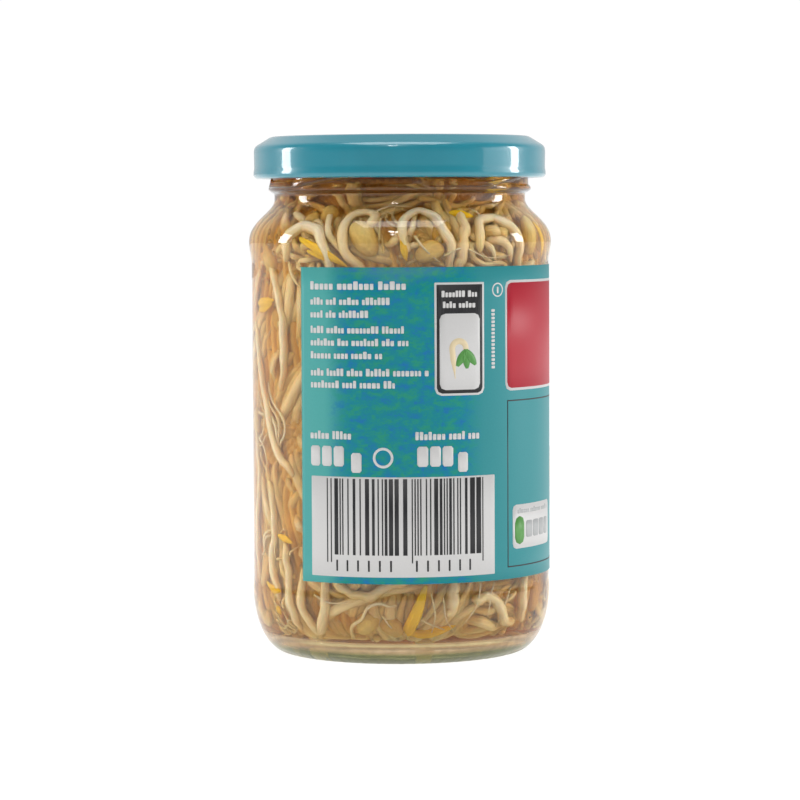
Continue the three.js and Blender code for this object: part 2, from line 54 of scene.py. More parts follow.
# %% Dimensions in millimetres
MM = 0.001
RIM_Z = 1000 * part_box("jar")[1].z
SHOULDER_RADIUS = 1000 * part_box("jar")[1].x
RING_RADIUS = 28.0
RING_WIDTH = 1.4
PUNT_HEIGHT = 2.2
HEEL_RADIUS = 36.0
HEEL_Z = 15.5
PANEL_RADIUS = 35.8
PANEL_LOW_Z = 18.0
PANEL_HIGH_Z = 93.8
SHOULDER_Z = 98.9
NECK_RADIUS = 30.2
NECK_Z = 108.9
BEAD_RADIUS = 31.6
BEAD_Z = 111.5
FINISH_RADIUS = 31.0
MOUTH_RADIUS = 28.3
WALL = 2.4
FLOOR_Z = 5.0
CONTENTS_INSET = 1.25
SHEET_RADIUS = 31.0
ARC = np.pi * SHEET_RADIUS / 180
AXIS_GAP = 0.4

# %% [markdown]
# Every round or long piece here is a skin: rings of points, one after the other, joined by quads
# and closed at each end by a point. A turned jar, a sprout, a printed bar and a bead are all skins
# with other rings. Working on whole arrays lets one call make hundreds of sprouts at once.

# %% Skins: rings of points joined into closed meshes
def ring_quads(count, around, wrap):
    """Each quad joins a side of one ring to the same side of the next ring."""
    ring = np.arange(count if wrap else count - 1)[:, None] * around
    side = np.arange(around)[None, :]
    after = (side + 1) % around
    ahead = (ring + around) % (count * around)
    return np.stack([ring + side, ring + after, ahead + after, ahead + side], -1).reshape(-1, 4)


def skin(name, rings, ends=None, values=None, wrap=False):
    """Mesh of one or many skins. rings is [skin, ring, side, xyz] in mm, ends [skin, 2, xyz].

    Where there are ends, a fan of triangles joins each end point to the nearest ring. The sum of
    the signed volumes over each face and the origin tells if the faces point inwards, and then
    their order is turned round.
    """
    rings = np.asarray(rings, float)
    skins, count, around, _ = rings.shape
    points = rings.reshape(skins, count * around, 3)
    quads = ring_quads(count, around, wrap)
    side = np.arange(around)
    after = (side + 1) % around
    last = (count - 1) * around
    fans = np.zeros((0, 3), int)
    if ends is not None:
        points = np.concatenate([points, ends], axis=1)
        start, stop = np.full(around, count * around), np.full(around, count * around + 1)
        fans = np.concatenate([
            np.stack([start, after, side], -1),
            np.stack([stop, last + side, last + after], -1),
        ])
    size = points.shape[1]
    shift = size * np.arange(skins)[:, None, None]
    quads = (quads[None] + shift).reshape(-1, 4)
    fans = (fans[None] + shift).reshape(-1, 3)
    points = points.reshape(-1, 3) * MM
    a, b, c, d = (points[quads[:, i]] for i in range(4))
    volume = np.sum(a * np.cross(b, c) + a * np.cross(c, d))
    if len(fans):
        a, b, c = (points[fans[:, i]] for i in range(3))
        volume += np.sum(a * np.cross(b, c))
    if volume < 0:
        quads, fans = quads[:, ::-1], fans[:, ::-1]
    corners = np.concatenate([quads.ravel(), fans.ravel()])
    starts = np.concatenate([4 * np.arange(len(quads)), 4 * len(quads) + 3 * np.arange(len(fans))])
    mesh = bpy.data.meshes.new(name)
    mesh.vertices.add(len(points))
    mesh.vertices.foreach_set("co", points.ravel())
    mesh.loops.add(len(corners))
    mesh.loops.foreach_set("vertex_index", corners.astype(np.int32))
    mesh.polygons.add(len(starts))
    mesh.polygons.foreach_set("loop_start", starts.astype(np.int32))
    mesh.polygons.foreach_set("use_smooth", np.ones(len(starts), bool))
    mesh.update(calc_edges=True)
    for key, value in (values or {}).items():
        kind = "FLOAT_VECTOR" if value.ndim == 4 else "FLOAT"
        flat = value.reshape(skins, count * around, -1)
        if ends is not None:
            flat = np.concatenate([flat, flat[:, :1], flat[:, -1:]], axis=1)
        layer = mesh.attributes.new(key, kind, "POINT")
        layer.data.foreach_set("vector" if value.ndim == 4 else "value", flat.ravel())
    return mesh


def place(name, mesh, material, body, stands_for=()):
    """Puts a finished mesh into the scene as a piece that moves with a body of the jar."""
    piece = bpy.data.objects.new(name, mesh)
    bpy.context.scene.collection.objects.link(piece)
    if not mesh.materials:
        mesh.materials.append(material)
    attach(piece, body)
    if stands_for:
        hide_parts(*stands_for)
    print(name, len(mesh.polygons), "faces")
    return piece


# %% [markdown]
# Profiles are drawn as straight lines and cubic curves in the plane of radius and height, and then
# turned round the jar's axis. The inside of the glass follows the outside at the wall's thickness.

# %% Profiles
def line(a, b, steps=2):
    """Points spaced evenly from a to b."""
    return np.linspace(a, b, steps)


def curve(a, b, c, d, steps=12):
    """A cubic Bezier curve: the four corners weighted by (1-t)^3, 3(1-t)^2 t, 3(1-t)t^2, t^3."""
    t = np.linspace(0, 1, steps)[:, None]
    a, b, c, d = (np.array(corner, float) for corner in (a, b, c, d))
    return (1 - t) ** 3 * a + 3 * (1 - t) ** 2 * t * b + 3 * (1 - t) * t**2 * c + t**3 * d


def arc(centre, radius, start, stop, steps=10):
    """Points on a circle about centre, from one angle in degrees to another."""
    t = np.radians(np.linspace(start, stop, steps))
    return np.stack([centre[0] + radius * np.cos(t), centre[1] + radius * np.sin(t)], -1)


def chain(*parts):
    """The parts one after the other, without the points that they share."""
    joined = np.concatenate(parts)
    keep = np.append(True, np.hypot(*np.diff(joined, axis=0).T) > 1e-4)
    return joined[keep]


def around(angle, radius, z):
    """A point at an angle from the front towards +X, a distance from the axis and a height."""
    a = np.radians(angle)
    return np.stack(np.broadcast_arrays(radius * np.sin(a), -radius * np.cos(a), z), -1)


def turned(profile, sides):
    """Rings of a profile turned round the axis: [ring, side, xyz]."""
    angle = np.linspace(0, 360, sides, endpoint=False)
    return around(angle[None, :], profile[:, :1], profile[:, 1:])


def cavity(inset, top):
    """The inside of the glass from the middle of its floor up to top, moved in by inset."""
    panel = PANEL_RADIUS - WALL - inset
    shoulder = SHOULDER_RADIUS - WALL - inset
    mouth = MOUTH_RADIUS - inset
    floor = FLOOR_Z + inset
    return chain(
        line((AXIS_GAP, floor), (panel - 8.5, floor), 16),
        curve((panel - 8.5, floor), (panel - 4, floor), (panel, floor + 5), (panel, HEEL_Z + 1), 24),
        line((panel, HEEL_Z + 1), (panel, PANEL_HIGH_Z), 60),
        curve((panel, PANEL_HIGH_Z), (panel, PANEL_HIGH_Z + 2), (shoulder, SHOULDER_Z - 3),
              (shoulder, SHOULDER_Z - 0.5)),
        curve((shoulder, SHOULDER_Z - 0.5), (shoulder, SHOULDER_Z + 3.5), (mouth, NECK_Z - 4.5),
              (mouth, NECK_Z), 18),
        line((mouth, NECK_Z), (mouth, top), 10),
    )


CONTENTS = cavity(CONTENTS_INSET, RIM_Z)[16:]


def contents_radius(z):
    """How far from the axis the sprouts reach at a height."""
    return np.interp(z, CONTENTS[:, 1], CONTENTS[:, 0])


# %% [markdown]
# The camera stands where the photographer's did: 78 cm away, level with the neck, with a long
# lens. Its roll is the small lean of the jar in the picture.

# %% Camera
CAMERA_PLACE = Vector((0.0007, -0.7783, 0.1074))
CAMERA_PITCH = np.radians(-3.457)
CAMERA_ROLL = np.radians(-0.27)
CAMERA_YAW = np.radians(0.063)
CAMERA_LENS = 144.87
camera = bpy.data.objects.new("camera", bpy.data.cameras.new("camera"))
camera.data.lens = CAMERA_LENS
camera.data.clip_start = 0.05
look = Matrix.Rotation(np.radians(90) + CAMERA_PITCH, 4, "X") @ Matrix.Rotation(CAMERA_ROLL, 4, "Z")
look = Matrix.Rotation(CAMERA_YAW, 4, "Z") @ look
camera.matrix_world = Matrix.Translation(CAMERA_PLACE) @ look
bpy.context.scene.collection.objects.link(camera)
bpy.context.scene.camera = camera

# %% [markdown]
# The studio is a pale floor and sky, a tall strip lamp at each side, a broad soft panel at the
# right, two small lamps high in front and a large dim one overhead. The strips make the long bright
# streaks on the lid, and the small lamps the sparks on the shoulder. The sky is dimmer in front,
# where a real studio is dark, so that gloss has something to show. The floor glows a little, so
# that it is as white as the backdrop, and Standard colours keep both white.

# %% Studio
bpy.context.scene.view_settings.view_transform = "Standard"
SKY_FRONT, SKY_BEHIND = 0.28, 0.7
BACKDROP_WHITE = 1.02
FLOOR_GREY = (0.25, 0.25, 0.25, 1)
FLOOR_GLOW = 0.93
WHITE = (1, 1, 1, 1)


def lamp(name, azimuth, radiance, distance, place_z, size, target_z=0.07):
    """A rectangle of light that faces the jar. Its power is radiance times pi times its area."""
    data = bpy.data.lights.new(name, "AREA")
    data.shape = "RECTANGLE"
    data.size, data.size_y = size
    data.energy = radiance * np.pi * size[0] * size[1]
    made = bpy.data.objects.new(name, data)
    a = np.radians(azimuth)
    made.location = Vector((distance * np.sin(a), -distance * np.cos(a), place_z))
    away = made.location - Vector((0, 0, target_z))
    made.rotation_euler = away.to_track_quat("Z", "Y").to_euler()
    bpy.context.scene.collection.objects.link(made)
    return made


def upright_lamp(name, azimuth, radiance, distance, low, high, width):
    """A lamp that stands straight up between two heights."""
    middle = (low + high) / 2
    return lamp(name, azimuth, radiance, distance, middle, (width, high - low), target_z=middle)


LAMP_LOW, LAMP_HIGH = 0.088, 0.47
upright_lamp("strip_left", -98.5, 13, 0.9, LAMP_LOW, LAMP_HIGH, 0.16)
upright_lamp("strip_right", 101, 15, 0.9, LAMP_LOW, LAMP_HIGH, 0.15)
upright_lamp("panel_right", 82, 1.5, 1.2, LAMP_LOW, LAMP_HIGH, 0.6)
lamp("front_high", -6, 40, 0.62, 0.76, (0.09, 0.07))
lamp("front_low", -5, 30, 0.8, 0.66, (0.06, 0.04))
lamp("overhead", 0, 3.6, 0.05, 1.05, (0.7, 0.7), 0.1)


def join_nodes(tree, kind, inputs=None, **settings):
    """Adds a node, sets its settings and inputs, and links the inputs that are sockets."""
    made = tree.nodes.new(kind)
    for key, value in settings.items():
        setattr(made, key, value)
    for key, value in (inputs or {}).items():
        if isinstance(value, bpy.types.NodeSocket):
            tree.links.new(value, made.inputs[key])
        else:
            made.inputs[key].default_value = value
    return made


SMOOTH = "SMOOTHSTEP"


def ramp(tree, value, start, stop, low=0.0, high=1.0, shape="LINEAR"):
    """Low where the value is at start, high where it is at stop, and between them in between."""
    return join_nodes(tree, "ShaderNodeMapRange", {
        "Value": value, "From Min": start, "From Max": stop, "To Min": low, "To Max": high,
    }, interpolation_type=shape).outputs[0]


world = bpy.data.worlds.new("studio")
bpy.context.scene.world = world
world.use_nodes = True
sky = world.node_tree
sky.nodes.clear()
direction = join_nodes(sky, "ShaderNodeTexCoord").outputs["Generated"]
split = join_nodes(sky, "ShaderNodeSeparateXYZ", {0: direction})
depthwise = ramp(sky, split.outputs["Y"], 0.3, 0.8, SKY_FRONT, SKY_BEHIND, SMOOTH)
backdrop = join_nodes(sky, "ShaderNodeBackground", {"Color": (0.98, 0.99, 1, 1), "Strength": depthwise})
white = join_nodes(sky, "ShaderNodeBackground", {"Color": WHITE, "Strength": BACKDROP_WHITE})
seen = join_nodes(sky, "ShaderNodeLightPath")
shown = join_nodes(sky, "ShaderNodeMixShader", {
    0: seen.outputs["Is Camera Ray"], 1: backdrop.outputs[0], 2: white.outputs[0],
})
join_nodes(sky, "ShaderNodeOutputWorld", {"Surface": shown.outputs[0]})

bpy.ops.mesh.primitive_plane_add(size=8)
floor = bpy.context.object
floor.name = "floor"
floor_paint = bpy.data.materials.new("white_floor")
floor_paint.use_nodes = True
floor_shader = floor_paint.node_tree.nodes["Principled BSDF"]
floor_shader.inputs["Base Color"].default_value = FLOOR_GREY
floor_shader.inputs["Roughness"].default_value = 0.9
floor_shader.inputs["Specular IOR Level"].default_value = 0.1
floor_shader.inputs["Emission Color"].default_value = WHITE
floor_shader.inputs["Emission Strength"].default_value = FLOOR_GLOW
floor.data.materials.append(floor_paint)


# %% [markdown]
# Each finish is one Principled shader. Its plain numbers are set on its own sockets, and what
# varies over the surface comes from one shared group, a mottle of soft noise that shifts a colour
# lighter and darker and gives a height for a fine bump.

# %% The mottle group and a helper for finishes
def make_mottle():
    """Group: the colour times 1 plus Strength times centred noise, and the noise as a height."""
    tree = bpy.data.node_groups.new("mottle", "ShaderNodeTree")
    sockets = tree.interface
    inputs = {"Vector": "Vector", "Color": "Color", "Scale": "Float", "Strength": "Float"}
    for way, kinds in (("INPUT", inputs), ("OUTPUT", {"Color": "Color", "Height": "Float"})):
        for name, kind in kinds.items():
            sockets.new_socket(name, in_out=way, socket_type="NodeSocket" + kind)
    given = tree.nodes.new("NodeGroupInput")
    noise = join_nodes(tree, "ShaderNodeTexNoise", {
        "Vector": given.outputs["Vector"], "Scale": given.outputs["Scale"],
        "Detail": 3.0, "Roughness": 0.55,
    })
    centred = join_nodes(tree, "ShaderNodeMath", {0: noise.outputs[0], 1: -0.5}, operation="ADD")
    shift = join_nodes(tree, "ShaderNodeMath", {
        0: centred.outputs[0], 1: given.outputs["Strength"], 2: 1.0,
    }, operation="MULTIPLY_ADD")
    tinted = join_nodes(tree, "ShaderNodeVectorMath", {
        0: given.outputs["Color"], 1: shift.outputs[0],
    }, operation="MULTIPLY")
    out = tree.nodes.new("NodeGroupOutput")
    tree.links.new(tinted.outputs[0], out.inputs["Color"])
    tree.links.new(noise.outputs[0], out.inputs["Height"])
    return tree


MOTTLE = make_mottle()


def finish_of(name, **sockets):
    """A material whose Principled shader has these plain values, written as words_with_bars."""
    material = bpy.data.materials.new(name)
    material.use_nodes = True
    principled = material.node_tree.nodes["Principled BSDF"]
    for key, value in sockets.items():
        words = " ".join(word if word.isupper() else word.capitalize() for word in key.split("_"))
        principled.inputs[words].default_value = value
    return material, material.node_tree, principled


def mottled(tree, vector, color, scale, strength):
    """A copy of the mottle group fed with a vector and a colour."""
    return join_nodes(tree, "ShaderNodeGroup", {
        "Vector": vector, "Color": color, "Scale": scale, "Strength": strength,
    }, node_tree=MOTTLE)


def attribute(tree, name, output="Fac"):
    """A value that the mesh carries at its points."""
    return join_nodes(tree, "ShaderNodeAttribute", attribute_name=name).outputs[output]


def paint(tree, principled, color):
    """Feeds a colour into the shader."""
    tree.links.new(color, principled.inputs["Base Color"])


def bump(tree, principled, height, distance, strength):
    """Feeds a height through a Bump node into the shader's normal."""
    made = join_nodes(tree, "ShaderNodeBump", {
        "Height": height, "Distance": distance, "Strength": strength,
    })
    tree.links.new(made.outputs[0], principled.inputs["Normal"])


def product(tree, first, second):
    """Two numbers multiplied."""
    return join_nodes(tree, "ShaderNodeMath", {0: first, 1: second}, operation="MULTIPLY").outputs[0]


def blend_colors(tree, factor, first, second):
    """A colour mix node's result."""
    made = join_nodes(tree, "ShaderNodeMix", {0: factor, 6: first, 7: second}, data_type="RGBA")
    return made.outputs[2]


def lamps_pass(tree, principled):
    """Lets lamp light straight through: shadow rays meet a Transparent shader instead."""
    path = join_nodes(tree, "ShaderNodeLightPath")
    clear = join_nodes(tree, "ShaderNodeBsdfTransparent", {"Color": WHITE})
    mix = join_nodes(tree, "ShaderNodeMixShader", {
        0: path.outputs["Is Shadow Ray"], 1: principled.outputs[0], 2: clear.outputs[0],
    })
    tree.links.new(mix.outputs[0], tree.nodes["Material Output"].inputs["Surface"])


# %% [markdown]
# Jar glass is blown into a mould, so it is clear, a little green in its thickness, and very
# slightly uneven. Where brine wets the inside, light bends far less than where glass meets air:
# the index there is that of glass over that of brine. So the inner wall has a finish of its own,
# in the same closed mesh. The thick foot has a third one: it scatters about half of its light, in
# an olive and brown that are a painted reflection of the contents and the table seen in a real base.

# %% Glass finishes
GLASS_INDEX = 1.52
BRINE_INDEX = 1.34
CLEAR_TINTS = (0.985, 0.995, 0.985, 1), (0.4, 0.46, 0.17, 1)
# The foot's tints are painted reflection: olive and brown for the contents and the table.
BASE_TINTS = (0.66, 0.46, 0.24, 1), (0.22, 0.23, 0.06, 1)


def glass_finish(name, index, tints=CLEAR_TINTS, patchiness=0.0, through=1.0, roughness=0.0):
    """Glass of an index, with a faint unevenness as bump, and the second tint where it is thick."""
    material, tree, principled = finish_of(
        name, Roughness=roughness, IOR=index, Transmission_Weight=through,
    )
    tint = blend_colors(tree, attribute(tree, "thick"), *tints)
    where = join_nodes(tree, "ShaderNodeTexCoord").outputs["Object"]
    uneven = mottled(tree, where, tint, 60.0, 0.0)
    patchy = mottled(tree, where, tint, 420.0, patchiness)
    paint(tree, principled, patchy.outputs["Color"])
    bump(tree, principled, uneven.outputs["Height"], 0.00025, 0.5)
    lamps_pass(tree, principled)
    return material


dry_glass = glass_finish("jar_glass", GLASS_INDEX)
wet_glass = glass_finish("jar_glass_wetted", GLASS_INDEX / BRINE_INDEX)
base_glass = glass_finish("jar_glass_base_painted_reflection", GLASS_INDEX, BASE_TINTS, 0.8, 0.55, 0.12)

# %% [markdown]
# The jar could be a Screw modifier on a drawn profile, but the four threads climb as they go
# round, which a plain turning can't give. So the turned grid's radius is raised where a thread
# passes: a half-round ridge about a line of height that depends on the angle.

# %% The jar
JAR_SIDES = 288
BRINE_TOP_Z = 117.0
STARTS = 4
THREAD_RADIUS = 0.8
THREAD_CENTRE = FINISH_RADIUS + 0.45
THREAD_ANGLES = (-84, -78, -64, -49, -30, -11, 8, 71)
THREAD_HEIGHTS = (113.5, 112.6, 112.6, 112.6, 114.0, 115.6, 116.34, 118.4)
THREAD_FADE = 10
STIPPLES, STIPPLE_HEIGHT = 110, 0.35
STIPPLED_Z = (0.3, 2.2)
BASE_BAND_Z = 5.4
THICK_Z = 3.4
INNER_WAVE = 0.05


def thread_lift(angle, z):
    """How far a thread raises the finish: the circle about its line, less the plain wall."""
    first, last, pitch = THREAD_ANGLES[0], THREAD_ANGLES[-1], 360 / STARTS
    turn = np.mod(angle - first, pitch) + first
    lift = np.zeros_like(z * angle)
    for lap in range(2):
        at = turn + lap * pitch
        line_z = np.interp(at, THREAD_ANGLES, THREAD_HEIGHTS)
        off = (z - line_z) / THREAD_RADIUS
        height = THREAD_CENTRE - FINISH_RADIUS + THREAD_RADIUS * np.sqrt(np.clip(1 - off**2, 0, 1))
        inside = (np.abs(off) < 1) & (at > first) & (at < last)
        ends = np.clip(np.minimum(at - first, last - at) / THREAD_FADE, 0, 1)
        lift = np.maximum(lift, np.where(inside, height * ends, 0))
    return lift


def jar_outside():
    """Base ring, heel as a quarter ellipse, recess, shoulder, neck, bead and finish."""
    t = np.radians(np.linspace(0, 90, 26))
    heel = np.stack([
        RING_RADIUS + (HEEL_RADIUS - RING_RADIUS) * np.sin(t), HEEL_Z * (1 - np.cos(t)),
    ], -1)
    top, side = SHOULDER_Z, SHOULDER_RADIUS
    return chain(
        line((AXIS_GAP, PUNT_HEIGHT), (RING_RADIUS * 0.7, PUNT_HEIGHT), 12),
        curve((RING_RADIUS * 0.7, PUNT_HEIGHT), (RING_RADIUS * 0.85, PUNT_HEIGHT),
              (RING_RADIUS - RING_WIDTH - 1.6, 0.7), (RING_RADIUS - RING_WIDTH, 0)),
        line((RING_RADIUS - RING_WIDTH, 0), (RING_RADIUS, 0), 5),
        heel,
        curve((HEEL_RADIUS, HEEL_Z), (HEEL_RADIUS, HEEL_Z + 1), (PANEL_RADIUS, HEEL_Z + 1.4),
              (PANEL_RADIUS, PANEL_LOW_Z), 10),
        line((PANEL_RADIUS, PANEL_LOW_Z), (PANEL_RADIUS, PANEL_HIGH_Z), 40),
        curve((PANEL_RADIUS, PANEL_HIGH_Z), (PANEL_RADIUS, PANEL_HIGH_Z + 1.6), (side, top - 2.3),
              (side, top), 16),
        curve((side, top), (side, top + 5), (NECK_RADIUS, NECK_Z - 2.9), (NECK_RADIUS, NECK_Z), 30),
        line((NECK_RADIUS, NECK_Z), (NECK_RADIUS, BEAD_Z - 1.4), 4),
        curve((NECK_RADIUS, BEAD_Z - 1.4), (NECK_RADIUS + 0.1, BEAD_Z - 0.9),
              (BEAD_RADIUS, BEAD_Z - 0.9), (BEAD_RADIUS, BEAD_Z), 9),
        curve((BEAD_RADIUS, BEAD_Z), (BEAD_RADIUS, BEAD_Z + 0.6), (FINISH_RADIUS, BEAD_Z + 0.7),
              (FINISH_RADIUS, BEAD_Z + 1.1), 8),
        line((FINISH_RADIUS, BEAD_Z + 1.1), (FINISH_RADIUS, RIM_Z - 1.2), 48),
        arc((FINISH_RADIUS - 1.2, RIM_Z - 1.2), 1.2, 0, 90, 7),
        line((FINISH_RADIUS - 1.2, RIM_Z), (MOUTH_RADIUS + 0.9, RIM_Z), 4),
    )


def make_jar():
    """Turns the outline, raises the threads, stipples the foot and waves the inner wall.

    The stipple is cos(110 a) sin(2.2 z) where both are positive, and the wave is
    sin(3 a + z / 9) + 0.6 sin(5 a - z / 5 + 1).
    """
    outside, inside = jar_outside(), cavity(0, RIM_Z - 0.9)[::-1]
    profile = chain(outside, inside)
    angle = np.linspace(0, 360, JAR_SIDES, endpoint=False)[None, :]
    radius = np.repeat(profile[:, :1], JAR_SIDES, axis=1)
    z = np.repeat(profile[:, 1:], JAR_SIDES, axis=1)
    outer = np.arange(len(profile))[:, None] < len(outside)
    finish = outer & (z > BEAD_Z + 0.2) & (z < RIM_Z - 1.4)
    radius = radius + np.where(finish, thread_lift(angle, z), 0)
    stipple = np.clip(np.cos(np.radians(angle) * STIPPLES), 0, 1) * np.clip(np.sin(2.2 * z), 0, 1)
    foot = outer & (z > STIPPLED_Z[0]) & (z < STIPPLED_Z[1]) & (radius > RING_RADIUS)
    radius = radius - np.where(foot, STIPPLE_HEIGHT * stipple, 0)
    wave = np.sin(np.radians(3 * angle) + z / 9) + 0.6 * np.sin(np.radians(5 * angle) - z / 5 + 1)
    middle = ~outer & (z > HEEL_Z)
    radius = radius + np.where(middle, INNER_WAVE * wave, 0)
    rings = around(angle, radius, z)
    ends = np.array([[[0, 0, PUNT_HEIGHT], [0, 0, FLOOR_Z]]])
    thick = np.where(outer, np.clip(THICK_Z - z, 0, 1), 0) * np.ones_like(angle)
    mesh = skin("jar_glass", rings[None], ends, {"thick": thick[None]})
    for glass in (dry_glass, wet_glass, base_glass):
        mesh.materials.append(glass)
    ring = np.repeat(np.arange(len(profile) - 1), JAR_SIDES)
    wetted = (ring >= len(outside)) & (profile[ring, 1] < BRINE_TOP_Z)
    wetted = np.concatenate([wetted, np.zeros(JAR_SIDES, bool), np.ones(JAR_SIDES, bool)])
    # Faces of the foot band, which carry the painted reflection.
    based = (ring < len(outside)) & (profile[ring, 1] < BASE_BAND_Z)
    based &= profile[ring, 0] > RING_RADIUS - 0.1
    based = np.concatenate([based, np.zeros(2 * JAR_SIDES, bool)])
    mesh.polygons.foreach_set("material_index", (wetted + 2 * based).astype(np.int32))
    return mesh


place("jar_glass", make_jar(), dry_glass, "jar_body", ["jar"])

# %% [markdown]
# The moulded base carries two tiny raised dots at the heel, right of the label's panel. They are
# part of the glass, but so small that they are beads laid on it.

# %% Moulded dots
def ball_rings(centres, radii, rings=7, sides=10):
    """Balls about centres: rings at even angles from pole to pole, [ball, ring, side, xyz]."""
    tilt = np.linspace(0, np.pi, rings + 2)[1:-1]
    turn = np.linspace(0, 2 * np.pi, sides, endpoint=False)
    unit = np.stack(np.broadcast_arrays(
        np.sin(tilt)[:, None] * np.cos(turn), np.sin(tilt)[:, None] * np.sin(turn),
        np.cos(tilt)[:, None]), -1)
    shape = centres[:, None, None, :] + radii[:, None, None, None] * unit[None]
    poles = np.array([[0, 0, 1.0], [0, 0, -1.0]])
    return shape, centres[:, None, :] + radii[:, None, None] * poles[None]


DOT_ANGLES, DOT_HEIGHTS = np.array([59.5, 63.0]), np.array([9.6, 10.3])
DOT_PLACE_RADIUS, DOT_RADIUS = 35.2, 0.3
dot_paint = finish_of("moulded_dot", Base_Color=(0.12, 0.1, 0.07, 1), Roughness=0.3)[0]
dot_centres = around(DOT_ANGLES, DOT_PLACE_RADIUS, DOT_HEIGHTS)
dots, dot_ends = ball_rings(dot_centres, np.full(2, DOT_RADIUS))
place("moulded_dots", skin("moulded_dots", dots, dot_ends), dot_paint, "jar_body")

# %% [markdown]
# The lid is one pressed sheet of tin: a sunk middle with a button, a raised ring, a sloped edge, a
# skirt and a rolled curl, from which four lugs are pressed in. It is turned as one closed skin,
# outside and inside, and the lugs are short skins along the curl.

# %% Lid paint
LID_RADIUS = 1000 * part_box("lid")[1].x
LID_TOP_Z = 1000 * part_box("lid")[1].z
LID_EDGE_Z = 1000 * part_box("lid")[0].z
LID_TEAL = (0.004, 0.245, 0.325, 1)
LID_GOLD = (0.72, 0.66, 0.5, 1)


def lid_finish():
    """Gloss lacquer: teal with a very faint mottle, an orange-peel bump and a clear coat."""
    material, tree, principled = finish_of(
        "lid_lacquer", Roughness=0.32, IOR=1.5, Coat_Weight=0.9, Coat_Roughness=0.06,
    )
    where = join_nodes(tree, "ShaderNodeTexCoord").outputs["Object"]
    color = blend_colors(tree, attribute(tree, "inside"), LID_TEAL, LID_GOLD)
    shade = mottled(tree, where, color, 240.0, 0.12)
    paint(tree, principled, shade.outputs["Color"])
    bump(tree, principled, shade.outputs["Height"], 0.00004, 0.35)
    return material


lid_paint = lid_finish()

# %% [markdown]
# The outline runs over the button, the sunk middle and the raised ring to the skirt, round the
# curl, and back along the inside, a sheet's thickness away.

# %% The lid
LID_SIDES = 256
LID_SHEET = 0.3
SUNK_DEPTH = 0.8
BUTTON_RADIUS, BUTTON_HEIGHT = 9.4, 0.3
CURL_RADIUS = 1.05
LUG_CENTRE = 20
LUG_HALF = 6
LUG_REACH = 31.8
LUG_LIFT, LUG_HALF_HEIGHT = 0.85, 0.7
LUG_ROOT = 0.2


def lid_profile():
    """The outside from the middle out to the curl, then the inside back to the middle."""
    top, out, edge = LID_TOP_Z, LID_RADIUS, LID_EDGE_Z
    sunk, curl = top - SUNK_DEPTH, (out - CURL_RADIUS, edge + CURL_RADIUS)
    raised = sunk + BUTTON_HEIGHT
    face = chain(
        line((AXIS_GAP, raised), (BUTTON_RADIUS, raised), 10),
        curve((BUTTON_RADIUS, raised), (10.2, raised), (10.4, sunk), (11.2, sunk), 8),
        line((11.2, sunk), (22.9, sunk), 12),
        curve((22.9, sunk), (23.7, sunk), (23.7, top), (24.6, top), 10),
        line((24.6, top), (30.3, top), 8),
        curve((30.3, top), (31.1, top), (31.4, top - 0.25), (32, top - 0.62), 8),
        line((32, top - 0.62), (33.8, top - 1.72), 4),
        curve((33.8, top - 1.72), (34.8, top - 2.3), (out - 0.08, top - 2.7), (out - 0.1, top - 4), 14),
        line((out - 0.1, top - 4), (out - 0.16, edge + 2.6), 12),
        curve((out - 0.16, edge + 2.6), (out - 0.16, edge + 2.1), (out, edge + 1.9),
              (out, edge + CURL_RADIUS), 8),
    )
    inner = chain(
        line((out - 0.5, edge + 2.2), (out - 0.5, top - 4), 8),
        curve((out - 0.5, top - 4), (out - 0.5, top - 2.9), (34.5, top - 2.5), (33.6, top - 2.05), 8),
        line((33.6, top - 2.05), (31.9, top - 0.98), 4),
        curve((31.9, top - 0.98), (31.3, top - 0.6), (31, top - 0.35), (30.2, top - LID_SHEET), 8),
        line((30.2, top - LID_SHEET), (24.8, top - LID_SHEET), 6),
        curve((24.8, top - LID_SHEET), (24.1, top - LID_SHEET), (24.1, sunk - LID_SHEET),
              (23.2, sunk - LID_SHEET), 8),
        line((23.2, sunk - LID_SHEET), (AXIS_GAP, sunk - LID_SHEET), 12),
    )
    return chain(face, arc(curl, CURL_RADIUS, 0, -225, 22), inner), len(inner)


def make_lid():
    """The turned sheet, with a value that tells its lacquered inside from its painted outside."""
    profile, inner = lid_profile()
    ends = np.array([[[0, 0, profile[0, 1]], [0, 0, profile[-1, 1]]]])
    inside = (np.arange(len(profile)) > len(profile) - inner).astype(float)
    inside = np.repeat(inside[:, None], LID_SIDES, axis=1)
    return skin("lid_tin", turned(profile, LID_SIDES)[None], ends, {"inside": inside[None]})


def make_lugs():
    """A lug's ring is an ellipse that reaches in by a smooth bump of the angle along the lug."""
    t = np.linspace(-1, 1, 15)
    reach = (1 - t**2) ** 0.6
    outer = LID_RADIUS - CURL_RADIUS
    inner = outer - LUG_ROOT - (outer - LUG_REACH - LUG_ROOT) * reach
    phase = np.linspace(0, 2 * np.pi, 12, endpoint=False)
    centre = LUG_CENTRE + 360 / STARTS * np.arange(STARTS)
    angle = centre[:, None, None] + (LUG_HALF * t)[None, :, None]
    middle, half = ((inner + outer) / 2)[None, :, None], ((outer - inner) / 2)[None, :, None]
    z = LID_EDGE_Z + LUG_LIFT + LUG_HALF_HEIGHT * np.sin(phase)
    rings = around(angle, middle + half * np.cos(phase), z[None, None, :] + 0 * angle)
    ends = rings[:, [0, -1]].mean(axis=2)
    return skin("lid_lugs", rings, ends)


place("lid_tin", make_lid(), lid_paint, "lid_body", ["lid"])
place("lid_lugs", make_lugs(), lid_paint, "lid_body")

# %% [markdown]
# A ring of pale compound is flowed into the lid's channel, and the glass rim presses into it.

# %% Sealing ring
SEAL_CREAM = (0.78, 0.75, 0.66, 1)


